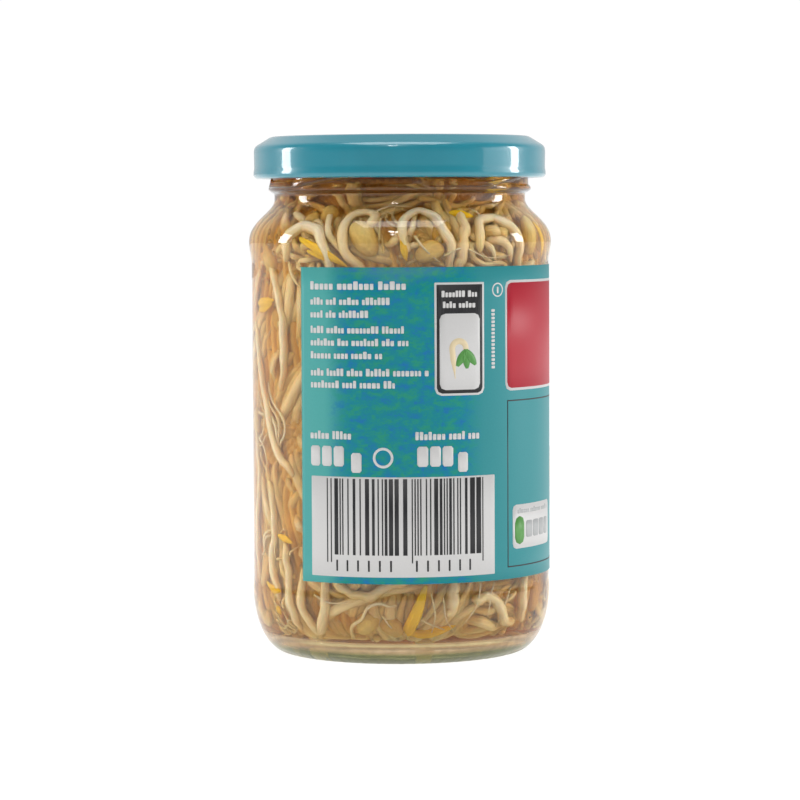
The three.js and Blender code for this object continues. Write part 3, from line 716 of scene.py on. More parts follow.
def seal_finish():
    """Matt compound with a fine grain."""
    material, tree, principled = finish_of("sealing_compound", Roughness=0.6)
    where = join_nodes(tree, "ShaderNodeTexCoord").outputs["Object"]
    shade = mottled(tree, where, SEAL_CREAM, 900.0, 0.15)
    paint(tree, principled, shade.outputs["Color"])
    bump(tree, principled, shade.outputs["Height"], 0.0001, 0.3)
    return material


seal_low, seal_high = RIM_Z + 0.2, LID_TOP_Z - LID_SHEET - 0.3
seal_profile = chain(
    line((MOUTH_RADIUS - 0.3, seal_low), (FINISH_RADIUS + 1.1, seal_low), 10),
    curve((FINISH_RADIUS + 1.1, seal_low), (FINISH_RADIUS + 1.2, seal_low + 0.15),
          (FINISH_RADIUS + 0.8, seal_high - 0.4), (FINISH_RADIUS - 0.9, seal_high), 8),
    line((FINISH_RADIUS - 0.9, seal_high), (MOUTH_RADIUS - 0.2, seal_high), 6),
    curve((MOUTH_RADIUS - 0.2, seal_high), (MOUTH_RADIUS - 0.4, seal_high),
          (MOUTH_RADIUS - 0.4, seal_low), (MOUTH_RADIUS - 0.3, seal_low), 7)[:-1],
)
seal_mesh = skin("sealing_ring", turned(seal_profile, 192)[None], wrap=True)
place("sealing_ring", seal_mesh, seal_finish(), "lid_seal", ["lid_gasket"])

# %% [markdown]
# The label is coated paper glued into the recess, five sixths of the way round. It could be a
# strip with a Solidify modifier, but bending the strip by formula gives a place on the label in
# millimetres, u round it and v up it, and the print uses the same bend. Its ground is teal, paler
# at the left, with brushed blue and green patches behind the rows of blocks.

# %% The label sheet
LABEL_RADIUS = PANEL_RADIUS + 0.08
PAPER = 0.1
LABEL_START = -39.9
LABEL_SPAN = 298.3
LABEL_LOW_Z, LABEL_HIGH_Z = 19.7, 93.2
INK = 0.012
LABEL_ARC = np.pi * (LABEL_RADIUS + PAPER) / 180
LABEL_PALE, LABEL_DEEP, LABEL_RIGHT = (0.08, 0.4, 0.38, 1), (0.002, 0.25, 0.3, 1), (0.03, 0.275, 0.3, 1)
PATCH_GREEN, PATCH_BLUE = (0.015, 0.3, 0.2, 1), (0.005, 0.18, 0.44, 1)
PAPER_WHITE = (0.75, 0.74, 0.7, 1)
PATCHES_START, PATCHES_END = (-19.0, -11.0), (21.0, 14.0)


def ribbons(name, middle, half, layer, across=3, thick=INK):
    """Flat shapes on the label: a middle line [shape, step, (u, v)] and a half width [shape, step].

    At each step the section runs from one side to the other on the outside and back on the
    inside, so that the shape is a closed sheet. layer lifts it above the shapes below it.
    """
    middle, half = np.asarray(middle, float), np.asarray(half, float)
    along = np.gradient(middle, axis=1)
    along /= np.linalg.norm(along, axis=-1, keepdims=True)
    sideways = np.stack([-along[..., 1], along[..., 0]], -1)
    side = np.linspace(-1, 1, across)
    spots = middle[:, :, None] + sideways[:, :, None] * (half[..., None] * side)[..., None]
    spots = np.concatenate([spots, spots[:, :, ::-1]], axis=2)
    base = LABEL_RADIUS + PAPER + INK * layer
    level = np.concatenate([np.full(across, base), np.full(across, base - thick)])
    rings = around(spots[..., 0] / LABEL_ARC, level[None, None], spots[..., 1])
    back = np.broadcast_to(np.repeat([0.0, 1.0], across)[:, None], (*spots.shape[:-1], 1))
    values = {"spot": np.concatenate([spots, back], -1)}
    return skin(name, rings, rings[:, [0, -1]].mean(axis=2), values)


def label_finish():
    """Teal print with blue and green brushed patches over part of it, under a thin varnish."""
    material, tree, principled = finish_of(
        "label_paper", Roughness=0.42, Specular_IOR_Level=0.25, Coat_Weight=0.08, Coat_Roughness=0.3,
    )
    spot = attribute(tree, "spot", "Vector")
    slant = join_nodes(tree, "ShaderNodeMapping", {
        "Vector": spot, "Rotation": (0, 0, np.radians(-40)), "Scale": (0.9, 1.5, 1),
    })
    patches = join_nodes(tree, "ShaderNodeTexNoise", {
        "Vector": slant.outputs[0], "Scale": 0.3, "Detail": 6.0, "Roughness": 0.78,
    })
    green = ramp(tree, patches.outputs[0], 0.5, 0.6)
    blue = ramp(tree, patches.outputs[0], 0.48, 0.38)
    parts = join_nodes(tree, "ShaderNodeSeparateXYZ", {0: spot})
    left = ramp(tree, parts.outputs[0], *PATCHES_START, shape=SMOOTH)
    right = ramp(tree, parts.outputs[0], *PATCHES_END, shape=SMOOTH)
    window = product(tree, left, right)
    sides = blend_colors(tree, left, LABEL_PALE, LABEL_RIGHT)
    color = blend_colors(tree, window, sides, LABEL_DEEP)
    color = blend_colors(tree, product(tree, green, window), color, PATCH_GREEN)
    color = blend_colors(tree, product(tree, blue, window), color, PATCH_BLUE)
    color = blend_colors(tree, parts.outputs[2], color, PAPER_WHITE)
    fibre = mottled(tree, spot, color, 2.4, 0.14)
    paint(tree, principled, fibre.outputs["Color"])
    bump(tree, principled, fibre.outputs["Height"], 0.00002, 0.4)
    return material


def make_label():
    """A long ribbon at the middle height of the label, as wide as the label is high."""
    u = LABEL_ARC * np.linspace(LABEL_START, LABEL_START + LABEL_SPAN, 220)
    middle_z = (LABEL_LOW_Z + LABEL_HIGH_Z) / 2
    middle = np.stack([u, np.full_like(u, middle_z)], -1)[None]
    half = np.full((1, len(u)), (LABEL_HIGH_Z - LABEL_LOW_Z) / 2)
    return ribbons("label_sheet", middle, half, 0, across=12, thick=PAPER)


place("label_sheet", make_label(), label_finish(), "jar_body", ["label"])

# %% [markdown]
# What is printed on the label is only ink, so each shape is a film a hundredth of a millimetre
# thick. Plain blocks stand in rows, as on a printer's dummy, and the panels are rounded rectangles
# laid one over the other.

# %% Ink helpers
rng = np.random.default_rng(11)


def ink(name, red, green, blue):
    """Printed ink: its colour with a faint paper grain, as matt as the label."""
    material, tree, principled = finish_of(name, Roughness=0.45, Specular_IOR_Level=0.4)
    shade = mottled(tree, attribute(tree, "spot", "Vector"), (red, green, blue, 1), 2.0, 0.08)
    paint(tree, principled, shade.outputs["Color"])
    return material


def printed(name, mesh, material):
    """Places a film of ink on the label."""
    return place(name, mesh, material, "jar_body")


def panel(name, box, material, layer, corner):
    """A rounded rectangle (u0, u1, v0, v1): its half height falls off as a quarter circle.

    Between the corners a step is about a millimetre, so that the film follows the bend.
    """
    u0, u1, v0, v1 = box
    inner_steps = 2 + int(u1 - u0)
    t = np.linspace(0, 1, 3)
    ease, fall = 1 - np.cos(t * np.pi / 2), 1 - np.sin(t * np.pi / 2)
    inner = u0 + corner + (u1 - u0 - 2 * corner) * np.linspace(0, 1, inner_steps + 2)[1:-1]
    u = np.concatenate([u0 + corner * ease, inner, u1 - corner * ease[::-1]])
    half = (v1 - v0) / 2 - corner * np.concatenate([fall, np.zeros(inner_steps), fall[::-1]])
    middle = np.stack([u, np.full_like(u, (v0 + v1) / 2)], -1)
    return printed(name, ribbons(name, middle[None], half[None], layer), material)


def word_row(start, stop, low, height, thick):
    """Blocks in a row, in groups of uneven length: most are low, and some are a third higher."""
    boxes, u, letters = [], start, rng.integers(4, 9)
    while u < stop - thick:
        width = thick * rng.uniform(0.8, 1.25)
        tall = height * (1.0 if rng.random() < 0.3 else 0.72)
        boxes.append((u, u + width, low, low + tall))
        u += width + 0.28 * thick
        letters -= 1
        if letters == 0:
            letters = rng.integers(3, 9)
            u += 0.9 * thick
    return boxes


def print_blocks(name, boxes, material, layer, corner=0.12):
    """Many small blocks as one piece: each is a short ribbon of three steps."""
    boxes = np.asarray(boxes, float)
    u0, u1, v0, v1 = boxes.T[:, :, None]
    share = np.array([0.0, 0.16, 0.5, 0.84, 1.0])[None]
    u = u0 + (u1 - u0) * share
    half = (v1 - v0) / 2 - corner * np.array([1.0, 0, 0, 0, 1.0])[None]
    middle = np.stack([u, np.broadcast_to((v0 + v1) / 2, u.shape)], -1)
    return printed(name, ribbons(name, middle, half, layer), material)


white_ink = ink("white_ink", 0.69, 0.68, 0.67)
black_ink = ink("black_ink", 0.02, 0.02, 0.022)
red_ink = ink("red_ink", 0.46, 0.012, 0.03)
cream_ink = ink("cream_ink", 0.8, 0.66, 0.42)
green_ink = ink("green_ink", 0.1, 0.32, 0.07)
grey_ink = ink("grey_ink", 0.45, 0.46, 0.46)

# %% [markdown]
# A row is given by where it starts and stops along the label, how high it lies, how high its blocks
# are and how thick. Larger blocks stand in two groups under the rows.

# %% Rows of blocks
ROWS = [
    (-22.2, -1.0, 84.5, 1.7, 0.72), (-22.2, -7.0, 81.5, 1.7, 0.72), (-22.2, 1.6, 77.9, 1.7, 0.72),
    (-22.2, 2.4, 75.0, 1.7, 0.72), (-22.2, -3.6, 72.0, 1.7, 0.72), (-22.2, 6.6, 68.0, 1.75, 0.74),
    (-22.2, -1.1, 65.2, 1.75, 0.74), (-22.4, -11.3, 53.3, 1.9, 0.8), (3.4, 19.9, 53.2, 1.9, 0.8),
    (9.7, 19.0, 86.2, 1.5, 0.66), (10.0, 18.7, 83.7, 1.5, 0.66),
]
small = [block for row in ROWS for block in word_row(*row)]
bold = word_row(-22.2, 1.6, 88.0, 1.95, 0.95)
large = [(u, u + 2.6, 47.0, 51.7) for u in (-22.3, -19.2, -16.1, 3.8, 6.8, 9.8)]
large += [(u, u + 2.5, 45.6, 50.2) for u in (-11.7, 13.6)]
print_blocks("label_words", small, white_ink, 4)
print_blocks("label_title", bold, white_ink, 4)
print_blocks("label_figures", large, white_ink, 4, corner=0.5)

# %% [markdown]
# Below the rows is a white panel with a row of upright bars of uneven width, then small ticks.
# The bars are drawn from seeded random widths, and mean nothing.

# %% The panel of bars
BARS_START, BARS_END = -18.0, 21.2
panel("bar_panel", (-22.2, 23.5, 21.3, 44.6), white_ink, 1, 0.2)
bars, u = [], BARS_START
while u < BARS_END:
    width = rng.choice([0.33, 0.66, 0.99, 1.32], p=[0.5, 0.27, 0.15, 0.08])
    long = u < -16.6 or abs(u - 1.6) < 0.9 or u > 19.8
    bars.append((u, u + (0.3 if long else width), 24.6 if long else 26.4, 44.2))
    u += width + rng.choice([0.33, 0.66, 0.99], p=[0.55, 0.3, 0.15])
print_blocks("bars", bars, black_ink, 2, corner=0.0)
tick_starts = np.append(np.arange(-15.6, 0.0, 2.6), np.arange(3.4, 19.0, 2.6))
print_blocks("bar_ticks", [(u, u + 0.45, 22.6, 25.2) for u in tick_starts], black_ink, 2, corner=0.1)

# %% [markdown]
# Right of the rows is a tall panel with a dark outline and a dark head, with a small drawing of a
# sprout. A red panel, a thin frame, a badge and larger drawn sprouts follow round the front.

# %% Panels of the label
panel("tall_panel_edge", (8.0, 20.6, 63.4, 89.6), white_ink, 1, 1.6)
panel("tall_panel_head_edge", (8.0, 20.6, 80.0, 89.6), white_ink, 1, 0.15)
panel("tall_panel_black", (8.5, 20.1, 63.9, 89.1), black_ink, 2, 1.3)
panel("tall_panel_head", (8.5, 20.1, 80.0, 89.1), black_ink, 2, 0.1)
panel("tall_panel_white", (9.2, 19.4, 64.7, 82.4), white_ink, 3, 1.4)
panel("red_panel_edge", (27.0, 71.0, 64.0, 89.9), white_ink, 1, 1.6)
panel("red_panel", (27.6, 70.4, 64.6, 89.3), red_ink, 2, 1.4)
panel("badge", (29.4, 49.0, 26.6, 37.0), white_ink, 1, 1.2)
panel("badge_mark", (30.2, 33.8, 27.6, 34.2), green_ink, 2, 1.6)
print_blocks("badge_rows", [(34.6 + 3.3 * i, 37.5 + 3.3 * i, 29.0, 33.0) for i in range(4)],
             grey_ink, 2, corner=0.3)
print_blocks("badge_words", word_row(31.2, 47.6, 34.9, 1.2, 0.6), grey_ink, 2, corner=0.05)
print_blocks("side_words", [(22.7, 23.7, v, v + 0.62) for v in np.arange(69.4, 83.0, 0.88)],
             white_ink, 2, corner=0.1)

# %% [markdown]
# A frame of four thin strips runs round the picture on the front, and two rings of ink are ribbons
# along a circle.

# %% A thin frame and two rings
def printed_ring(name, u, v, radius, half):
    """A ring of ink about (u, v), as wide as twice half."""
    turn = np.linspace(0, 2 * np.pi, 33)[None]
    circle = np.stack([u + radius * np.cos(turn), v + radius * np.sin(turn)], -1)
    return printed(name, ribbons(name, circle, np.full(turn.shape, half), 2), white_ink)


left, right, low, high, line_width = 27.6, 98.0, 22.4, 61.8, 0.3
strips = [
    (left, right, low, low + line_width), (left, right, high - line_width, high),
    (left, left + line_width, low, high), (right - line_width, right, low, high),
]
for index, strip in enumerate(strips):
    panel(f"thin_frame_{index + 1}", strip, black_ink, 1, 0.1)
printed_ring("small_ring", 24.6, 87.7, 1.5, 0.16)
print_blocks("small_ring_dot", [(24.35, 24.85, 86.9, 88.4)], white_ink, 2, corner=0.1)
printed_ring("wide_ring", -4.1, 49.1, 2.1, 0.3)


# %% [markdown]
# The drawn sprouts are generic: a stem that bends over like a walking stick, leaves at its head
# and a root that thins away. They are ribbons whose width changes along the way. Round the back
# stands a table of ruled rows with blocks in them.

# %% Drawn sprouts and a table
def drawn_sprout(name, u, v, size, lean, layer=2):
    """Stem: a straight line that curls over by a half turn; leaves: three lens-shaped ribbons."""
    t = np.linspace(0, 1, 40)
    heading = np.radians(90 + lean) - np.clip(t - 0.55, 0, 1) / 0.45 * np.radians(190)
    step = size / len(t)
    stem = np.stack([u + np.cumsum(step * np.cos(heading)), v + np.cumsum(step * np.sin(heading))], -1)
    half = 0.055 * size * np.clip(t / 0.35, 0.15, 1)
    printed(name + "_stem", ribbons(name + "_stem", stem[None], half[None], layer), cream_ink)
    lens = np.tile(np.linspace(0, 1, 15), (3, 1))
    fan = heading[-1] + np.radians([-26, 8, 40])[:, None]
    leaf = stem[-1] + 0.34 * size * lens[..., None] * np.stack([np.cos(fan), np.sin(fan)], -1)
    width = 0.075 * size * np.sin(np.pi * (0.08 + 0.84 * lens)) ** 0.8
    printed(name + "_leaves", ribbons(name + "_leaves", leaf, width, layer + 1), green_ink)


drawn_sprout("panel_sprout", 13.0, 67.0, 13.0, 6, 4)
for index, (u, v, size, lean) in enumerate([(58, 30, 26, 14), (68, 28, 30, -4), (80, 31, 24, -20)]):
    drawn_sprout(f"front_sprout_{index + 1}", u, v, size, lean)
table_rows = [(110.0, 150.0, v, v + 0.25) for v in np.arange(34.0, 84.0, 5.0)]
table_columns = [(start, stop, v, 1.7, 0.75) for start, stop in ((111.0, 128.0), (140.0, 148.5))
                 for v in np.arange(35.4, 82.0, 5.0)]
table_words = [block for row in table_columns for block in word_row(*row)]
print_blocks("table_words", table_words, white_ink, 2)
for index, row in enumerate(table_rows):
    panel(f"table_line_{index + 1}", row, white_ink, 1, 0.08)

# %% [markdown]
# The brine is amber water, a little cloudy. Light that travels further through it loses more of
# its blue, so the gaps between deep sprouts are amber and the sprouts at the glass are hardly
# tinted, and the cloud softens what lies deep. That is a volume that absorbs and one that scatters,
# inside a surface that bends nothing: the wetted glass has done the bending.

# %% Brine
BRINE_INSET = 0.3
AMBER, AMBER_STRENGTH = (0.97, 0.68, 0.02, 1), 200.0
CLOUD, CLOUDINESS = (1.0, 0.74, 0.3, 1), 28.0


def brine_finish():
    """No bending at the surface, and inside it absorption, strongest in the blue, and scatter."""
    material, tree, principled = finish_of(
        "amber_brine", Base_Color=WHITE, Roughness=0.0, IOR=1.0, Transmission_Weight=1.0,
    )
    depth = join_nodes(tree, "ShaderNodeVolumeAbsorption", {"Color": AMBER, "Density": AMBER_STRENGTH})
    cloud = join_nodes(tree, "ShaderNodeVolumeScatter", {
        "Color": CLOUD, "Density": CLOUDINESS, "Anisotropy": 0.3,
    })
    both = join_nodes(tree, "ShaderNodeAddShader", {0: depth.outputs[0], 1: cloud.outputs[0]})
    tree.links.new(both.outputs[0], tree.nodes["Material Output"].inputs["Volume"])
    lamps_pass(tree, principled)
    return material


brine_profile = cavity(BRINE_INSET, BRINE_TOP_Z)
brine_ends = np.array([[[0, 0, FLOOR_Z + BRINE_INSET], [0, 0, BRINE_TOP_Z]]])
brine_mesh = skin("brine_body", turned(brine_profile, 144)[None], brine_ends)
place("brine_body", brine_mesh, brine_finish(), "jar_body", ["brine"])

# %% [markdown]
# Sprout flesh is wet, cream and slightly see-through, with fine streaks along the stem, yellower
# at the head and browner at the root. Its outline is painted in the deeper colour, as painted shade
# for the more flesh that is looked through there. Each vertex carries how far along its sprout it
# lies, a shade number of its sprout, and a place for the streaks: the cosine and sine of the turn
# round the stem and the distance along it, which closes without a seam.

# %% Finishes of the sprouts
def flesh_finish(name, pale, deep, head, root, through=0.5):
    """Cream flesh with streaks; `along` tints the head and the root, `shade` each sprout, and the
    outline gets painted shade.
    """
    material, tree, principled = finish_of(
        name, Roughness=0.45, IOR=1.2, Subsurface_Weight=through, Subsurface_Scale=0.002,
        Subsurface_Radius=(1.0, 0.6, 0.35),
    )
    along = attribute(tree, "along")
    color = blend_colors(tree, attribute(tree, "shade"), pale, deep)
    color = blend_colors(tree, ramp(tree, along, 0.22, 0.0, high=0.7), color, head)
    color = blend_colors(tree, ramp(tree, along, 0.72, 1.0, high=0.8), color, root)
    streaks = mottled(tree, attribute(tree, "grain", "Vector"), color, 2.8, 0.5)
    # Painted shade: where the surface turns away, the outline is blended towards the deep colour.
    rim = join_nodes(tree, "ShaderNodeLayerWeight", {"Blend": 0.3}).outputs["Facing"]
    edge = product(tree, rim, 0.5)
    paint(tree, principled, blend_colors(tree, edge, streaks.outputs["Color"], deep))
    bump(tree, principled, streaks.outputs["Height"], 0.0004, 0.6)
    return material


sprout_flesh = flesh_finish(
    "sprout_flesh", pale=(0.84, 0.77, 0.66, 1), deep=(0.78, 0.64, 0.42, 1),
    head=(0.8, 0.66, 0.34, 1), root=(0.78, 0.6, 0.38, 1))
bean_flesh = flesh_finish(
    "bean_flesh", pale=(0.7, 0.54, 0.21, 1), deep=(0.64, 0.45, 0.16, 1),
    head=(0.72, 0.56, 0.22, 1), root=(0.6, 0.42, 0.14, 1), through=0.25)
leaf_flesh = flesh_finish(
    "leaf_flesh", pale=(0.93, 0.62, 0.02, 1), deep=(0.86, 0.52, 0.015, 1),
    head=(0.88, 0.66, 0.1, 1), root=(0.86, 0.54, 0.03, 1), through=0.2)

# %% [markdown]
# Sprouts are laid on a sheet rolled up inside the glass, where a place is an angle, a height and a
# depth behind the outermost sprouts. A stem is a round section carried along its path. Its rings
# stand square to the path, and the section is a little oval and lobed so that it isn't a hose.

# %% Stems carried along paths
TIP_REACH = 0.6


def on_sheet(angle, z, depth):
    """A point of the sheet in space."""
    return around(angle, contents_radius(z) - depth, z)


def stem_rings(path, radius, phase, sides=10, flat=1.0):
    """Rings round paths [stem, step, xyz] of radii [stem, step].

    The section's second axis is the way out of the jar made square to the path, and its first is
    square to both. The radius is scaled by 1 + 0.07 cos(2a + p) + 0.03 cos(5a + 2p).
    """
    tangent = np.gradient(path, axis=1)
    tangent /= np.linalg.norm(tangent, axis=-1, keepdims=True)
    outward = path * [1, 1, 0]
    outward /= np.linalg.norm(outward, axis=-1, keepdims=True)
    across = np.cross(tangent, outward)
    across /= np.linalg.norm(across, axis=-1, keepdims=True) + 1e-9
    outward = np.cross(across, tangent)
    a, p = np.linspace(0, 2 * np.pi, sides, endpoint=False), phase[:, None, None]
    lobes = 1 + 0.07 * np.cos(2 * a + p) + 0.03 * np.cos(5 * a + 2 * p)
    reach = radius[..., None] * lobes
    wide, high = reach * np.cos(a), reach * np.sin(a) * flat
    rings = path[:, :, None] + across[:, :, None] * wide[..., None]
    rings = rings + outward[:, :, None] * high[..., None]
    ends = [0, -1]
    tips = path[:, ends] + tangent[:, ends] * (radius[:, ends] * [-TIP_REACH, TIP_REACH])[..., None]
    stretch = np.linalg.norm(np.diff(path, axis=1, prepend=path[:, :1]), axis=-1)
    length = np.cumsum(stretch, axis=1)
    grain = np.stack(np.broadcast_arrays(np.cos(a) + p, np.sin(a), 0.12 * length[..., None]), -1)
    along = np.broadcast_to(np.linspace(0, 1, path.shape[1])[None, :, None], grain.shape[:3])
    return rings, tips, {"grain": grain, "along": along.copy()}


def stem_mesh(name, path, radius, phase, shade, **options):
    """Many stems as one mesh, with their values for the finish."""
    rings, tips, values = stem_rings(path, radius, phase, **options)
    values["shade"] = np.broadcast_to(shade[:, None, None], rings.shape[:3]).copy()
    return skin(name, rings, tips, values)


def smooth_path(places, steps):
    """A uniform Catmull-Rom curve through given (angle, height) points.

    Each stretch is the cubic with the end points' values and half the chord of their neighbours
    as slopes; the first and last points are mirrored to give the ends their slopes.
    """
    p = np.array(places, float)
    p = np.concatenate([[2 * p[0] - p[1]], p, [2 * p[-1] - p[-2]]])
    at = np.linspace(0, len(places) - 1, steps)
    i = np.minimum(at.astype(int), len(places) - 2)
    t = (at - i)[:, None]
    a, b, c, d = p[i], p[i + 1], p[i + 2], p[i + 3]
    slope_b, slope_c = (c - a) / 2, (d - b) / 2
    return ((2 * t**3 - 3 * t**2 + 1) * b + (t**3 - 2 * t**2 + t) * slope_b
            + (3 * t**2 - 2 * t**3) * c + (t**3 - t**2) * slope_c)


# %% [markdown]
# The sprouts that lie against the glass are those that can be told apart in the picture. Each is a
# radius and a path through a few given places (angle, height), and some have their pair of
# seed leaves: angle, height, the turn of its long way, and half sizes. Round the back some of them
# come again, turned and lifted.

# %% The loose sprouts
LOOSE = {
    "sprout_hooked": (1.2, [(-14, 100.6), (-11, 103.4), (-16, 104.8), (-22, 103.2), (-24.5, 99.8),
                            (-21.5, 96), (-14, 91), (-8, 84)]),
    "sprout_left_arch": (1.25, [(-54, 95), (-52, 99.5), (-44, 101.6), (-36, 100.4), (-31, 96.5),
                                (-30, 90), (-33, 82)]),
    "sprout_centre_arch": (1.1, [(3, 97), (1, 101.8), (8, 105), (16, 103), (20.5, 98.5), (21, 91)]),
    "sprout_right_upright": (1.35, [(29, 105), (27.4, 100), (25.6, 95), (25, 88)]),
    "sprout_right_arch": (1.3, [(34, 97), (36, 101.6), (44, 103), (52, 101.4), (57, 97.4), (57, 90)]),
    "sprout_side_bow": (1.25, [(-66, 93.4), (-59, 85), (-56, 74), (-58, 64)]),
    "sprout_side_slant": (1.25, [(-84, 80), (-77, 69), (-70, 59), (-61, 49), (-50, 44)]),
    "sprout_side_upright": (1.15, [(-83.4, 54.4), (-80, 42), (-84, 29), (-80, 18)]),
    "sprout_side_low": (1.25, [(-68, 42), (-64, 32), (-66, 22), (-60, 14)]),
    "sprout_heel_upright": (1.15, [(-56, 28), (-54, 20), (-53, 12), (-51.5, 8)]),
    "sprout_heel_loop": (1.15, [(-45, 22), (-46, 14), (-44, 9), (-39, 8.4), (-35, 12), (-33, 18),
                                (-34, 26)]),
    "sprout_heel_level": (1.2, [(-29, 20), (-22, 17), (-14, 16.4), (-6, 18.6), (2, 20)]),
    "sprout_heel_beige": (1.45, [(21, 26), (22, 20), (22, 15), (21, 11.4)]),
    "sprout_heel_bent": (1.3, [(31, 14.8), (38, 15.4), (45, 13.6), (50, 10), (58, 9)]),
    "sprout_heel_right": (1.3, [(60, 28), (61, 20), (60, 14), (64, 9)]),
}
BEANS = {
    "sprout_hooked": (-15.4, 99.2, -48, (4.1, 2.7, 2.0)),
    "sprout_right_upright": (12.5, 96.4, 20, (3.5, 2.5, 1.9)),
    "sprout_right_arch": (67, 99.6, 80, (3.6, 2.5, 1.9)),
    "sprout_side_bow": (-67, 95, 120, (3.8, 2.6, 1.9)),
    "sprout_side_upright": (-84, 55.6, 100, (3.6, 2.5, 1.9)),
    "sprout_heel_level": (-15, 10, 35, (3.2, 2.5, 1.9)),
    "sprout_heel_beige": (-4.6, 9.2, -25, (3.2, 2.2, 1.8)),
}
BACK_COPIES = {
    "sprout_right_arch": (66, -0.6), "sprout_hooked": (168, 0.4), "sprout_left_arch": (238, 0),
    "sprout_heel_loop": (136, 0.6), "sprout_heel_bent": (86, 0.4), "sprout_heel_level": (208, 0.6),
}
OWN_BEAN_NODES = {
    "sprout_right_upright", "sprout_right_arch", "sprout_heel_level", "sprout_heel_beige",
}


BEAN_BULGE = 0.6


def bean_mesh(name, angle, z, turn, size, depth, rings=22, sides=28):
    """Two seed halves pressed together: an ellipsoid, pinched where the halves meet.

    The radius is cut by a narrow bell about the seam's plane and swollen a little to one side, so
    that the outline is a kidney. All arguments but the name may be arrays of the same length.
    """
    angle, z, turn, depth = (np.atleast_1d(np.asarray(v, float)) for v in (angle, z, turn, depth))
    size = np.atleast_2d(np.asarray(size, float))
    tilt = np.linspace(0, np.pi, rings + 2)[1:-1][:, None]
    around_it = np.linspace(0, 2 * np.pi, sides, endpoint=False)[None]
    x = np.cos(tilt) + 0 * around_it
    y, up = np.sin(tilt) * np.cos(around_it), np.sin(tilt) * np.sin(around_it)
    seam = np.exp(-((y - 0.12 * x**2 + 0.05) / 0.1) ** 2) * np.sin(tilt)
    pinch = 1 - 0.16 * seam
    wrinkle = 1 + 0.025 * np.sin(7 * x + 3 * y) * np.sin(5 * up + 2)
    bow = 0.18 * (1 - x**2)
    local = np.stack([x * wrinkle, (y * pinch + bow) * wrinkle, up * pinch * wrinkle], -1)
    poles = np.array([[1.0, 0, 0], [-1.0, 0, 0]])
    way = np.radians(turn)

    def bend(points):
        """Lays points of the unit bean on the sheet, with its long way along turn."""
        extra = [1] * (points.ndim - 1)
        spots = points[None] * size.reshape(-1, *extra, 3)
        c, s = np.cos(way).reshape(-1, *extra), np.sin(way).reshape(-1, *extra)
        su, sv = spots[..., 0] * c - spots[..., 1] * s, spots[..., 0] * s + spots[..., 1] * c
        height = z.reshape(-1, *extra) + sv
        radius = contents_radius(z).reshape(-1, *extra) - depth.reshape(-1, *extra) + spots[..., 2]
        radius = np.minimum(radius, contents_radius(height) + BEAN_BULGE)
        return around(angle.reshape(-1, *extra) + su / ARC, radius, height)

    shape = bend(local)
    values = {
        "grain": np.broadcast_to(1.3 * local[None], shape.shape).copy(),
        "along": np.broadcast_to(0.3 + 0.2 * x[None], shape.shape[:3]).copy(),
        "shade": np.broadcast_to((0.5 + 0.5 * np.sin(angle))[:, None, None], shape.shape[:3]).copy(),
    }
    return skin(name, shape, bend(poles), values)


LOOSE_STEPS = 48


def knobbly(radius, turn):
    """Radius along a loose stem, with tapered ends and two waves, and its kinks in degrees."""
    t = np.linspace(0, 1, LOOSE_STEPS)
    thick = radius * (1 - 0.5 * np.abs(2 * t - 1) ** 8) * (1 + 0.08 * np.sin(11 * t + turn + radius))
    thick = thick * (1 + 0.05 * np.sin(29 * t + 3 * turn + 9 * radius))
    return thick, 0.35 * np.sin(17 * t + 40 * radius) + 0.25 * np.sin(31 * t + 70 * radius)


loose_paths = {}
for name, (radius, places) in LOOSE.items():
    copies = [(name, 0, 0)]
    if name in BACK_COPIES:
        copies.append((name + "_back", *BACK_COPIES[name]))
    for copy_name, turn, lift in copies:
        spots = smooth_path(places, LOOSE_STEPS) + [turn, lift]
        loose_paths[copy_name] = (spots, radius)
        thick, kink = knobbly(radius, turn)
        spots = spots + np.stack([kink, 0.5 * kink[::-1]], -1)
        path = on_sheet(spots[:, 0], spots[:, 1], radius)
        phase, shade = np.array([radius * 7 + turn]), np.array([(7.3 * radius + 0.1 * turn) % 1])
        mesh = stem_mesh(copy_name + "_stem", path[None], thick[None], phase, shade, sides=14)
        place(copy_name + "_stem", mesh, sprout_flesh, "jar_body", [copy_name])
        if name in BEANS:
            angle, z, way, size = BEANS[name]
            bean = bean_mesh(copy_name + "_bean", angle + turn, z + lift, way, size, size[2])
            own = [copy_name.replace("sprout", "bean")] if name in OWN_BEAN_NODES else []
            place(copy_name + "_bean", bean, bean_flesh, "jar_body", own)

# %% [markdown]
# The rest are packed behind those. A map of the sheet holds how deep it is filled already. Each
# new sprout lies just behind what its path crosses, as a springy stem would, and then adds its own
# room to the map. So the first ones laid are seen whole, and later ones fill the gaps behind.

# %% The map of room that is taken
CELL = 0.5
MAP_LOW_Z = 4.0
MAP_COLUMNS = int(round(2 * np.pi * SHEET_RADIUS / CELL))
MAP_ROWS = 228
SQUASH = 0.46
REACH_STEPS, EASE_STEPS = 2, 4
taken = np.zeros((MAP_COLUMNS, MAP_ROWS))


def footprint(angle, z, radius):
    """Map cells within radius of each path point, and the height of a squashed ball there."""
    reach = int(radius / CELL) + 1
    du, dz = np.meshgrid(np.arange(-reach, reach + 1), np.arange(-reach, reach + 1))
    far = CELL * np.hypot(du, dz)
    near = far < radius
    du, dz, far = du[near], dz[near], far[near]
    column = np.round(np.asarray(angle)[..., None] * ARC / CELL).astype(int) + du
    row = np.round((np.asarray(z)[..., None] - MAP_LOW_Z) / CELL).astype(int) + dz
    bulge = SQUASH * np.sqrt(radius**2 - far**2)
    return column % MAP_COLUMNS, np.clip(row, 0, MAP_ROWS - 1), bulge


def neighbours(values, steps):
    """Each value with those up to some steps away on both sides: [value, neighbour]."""
    padded = np.pad(values, steps, mode="edge")
    return np.lib.stride_tricks.sliding_window_view(padded, 2 * steps + 1)


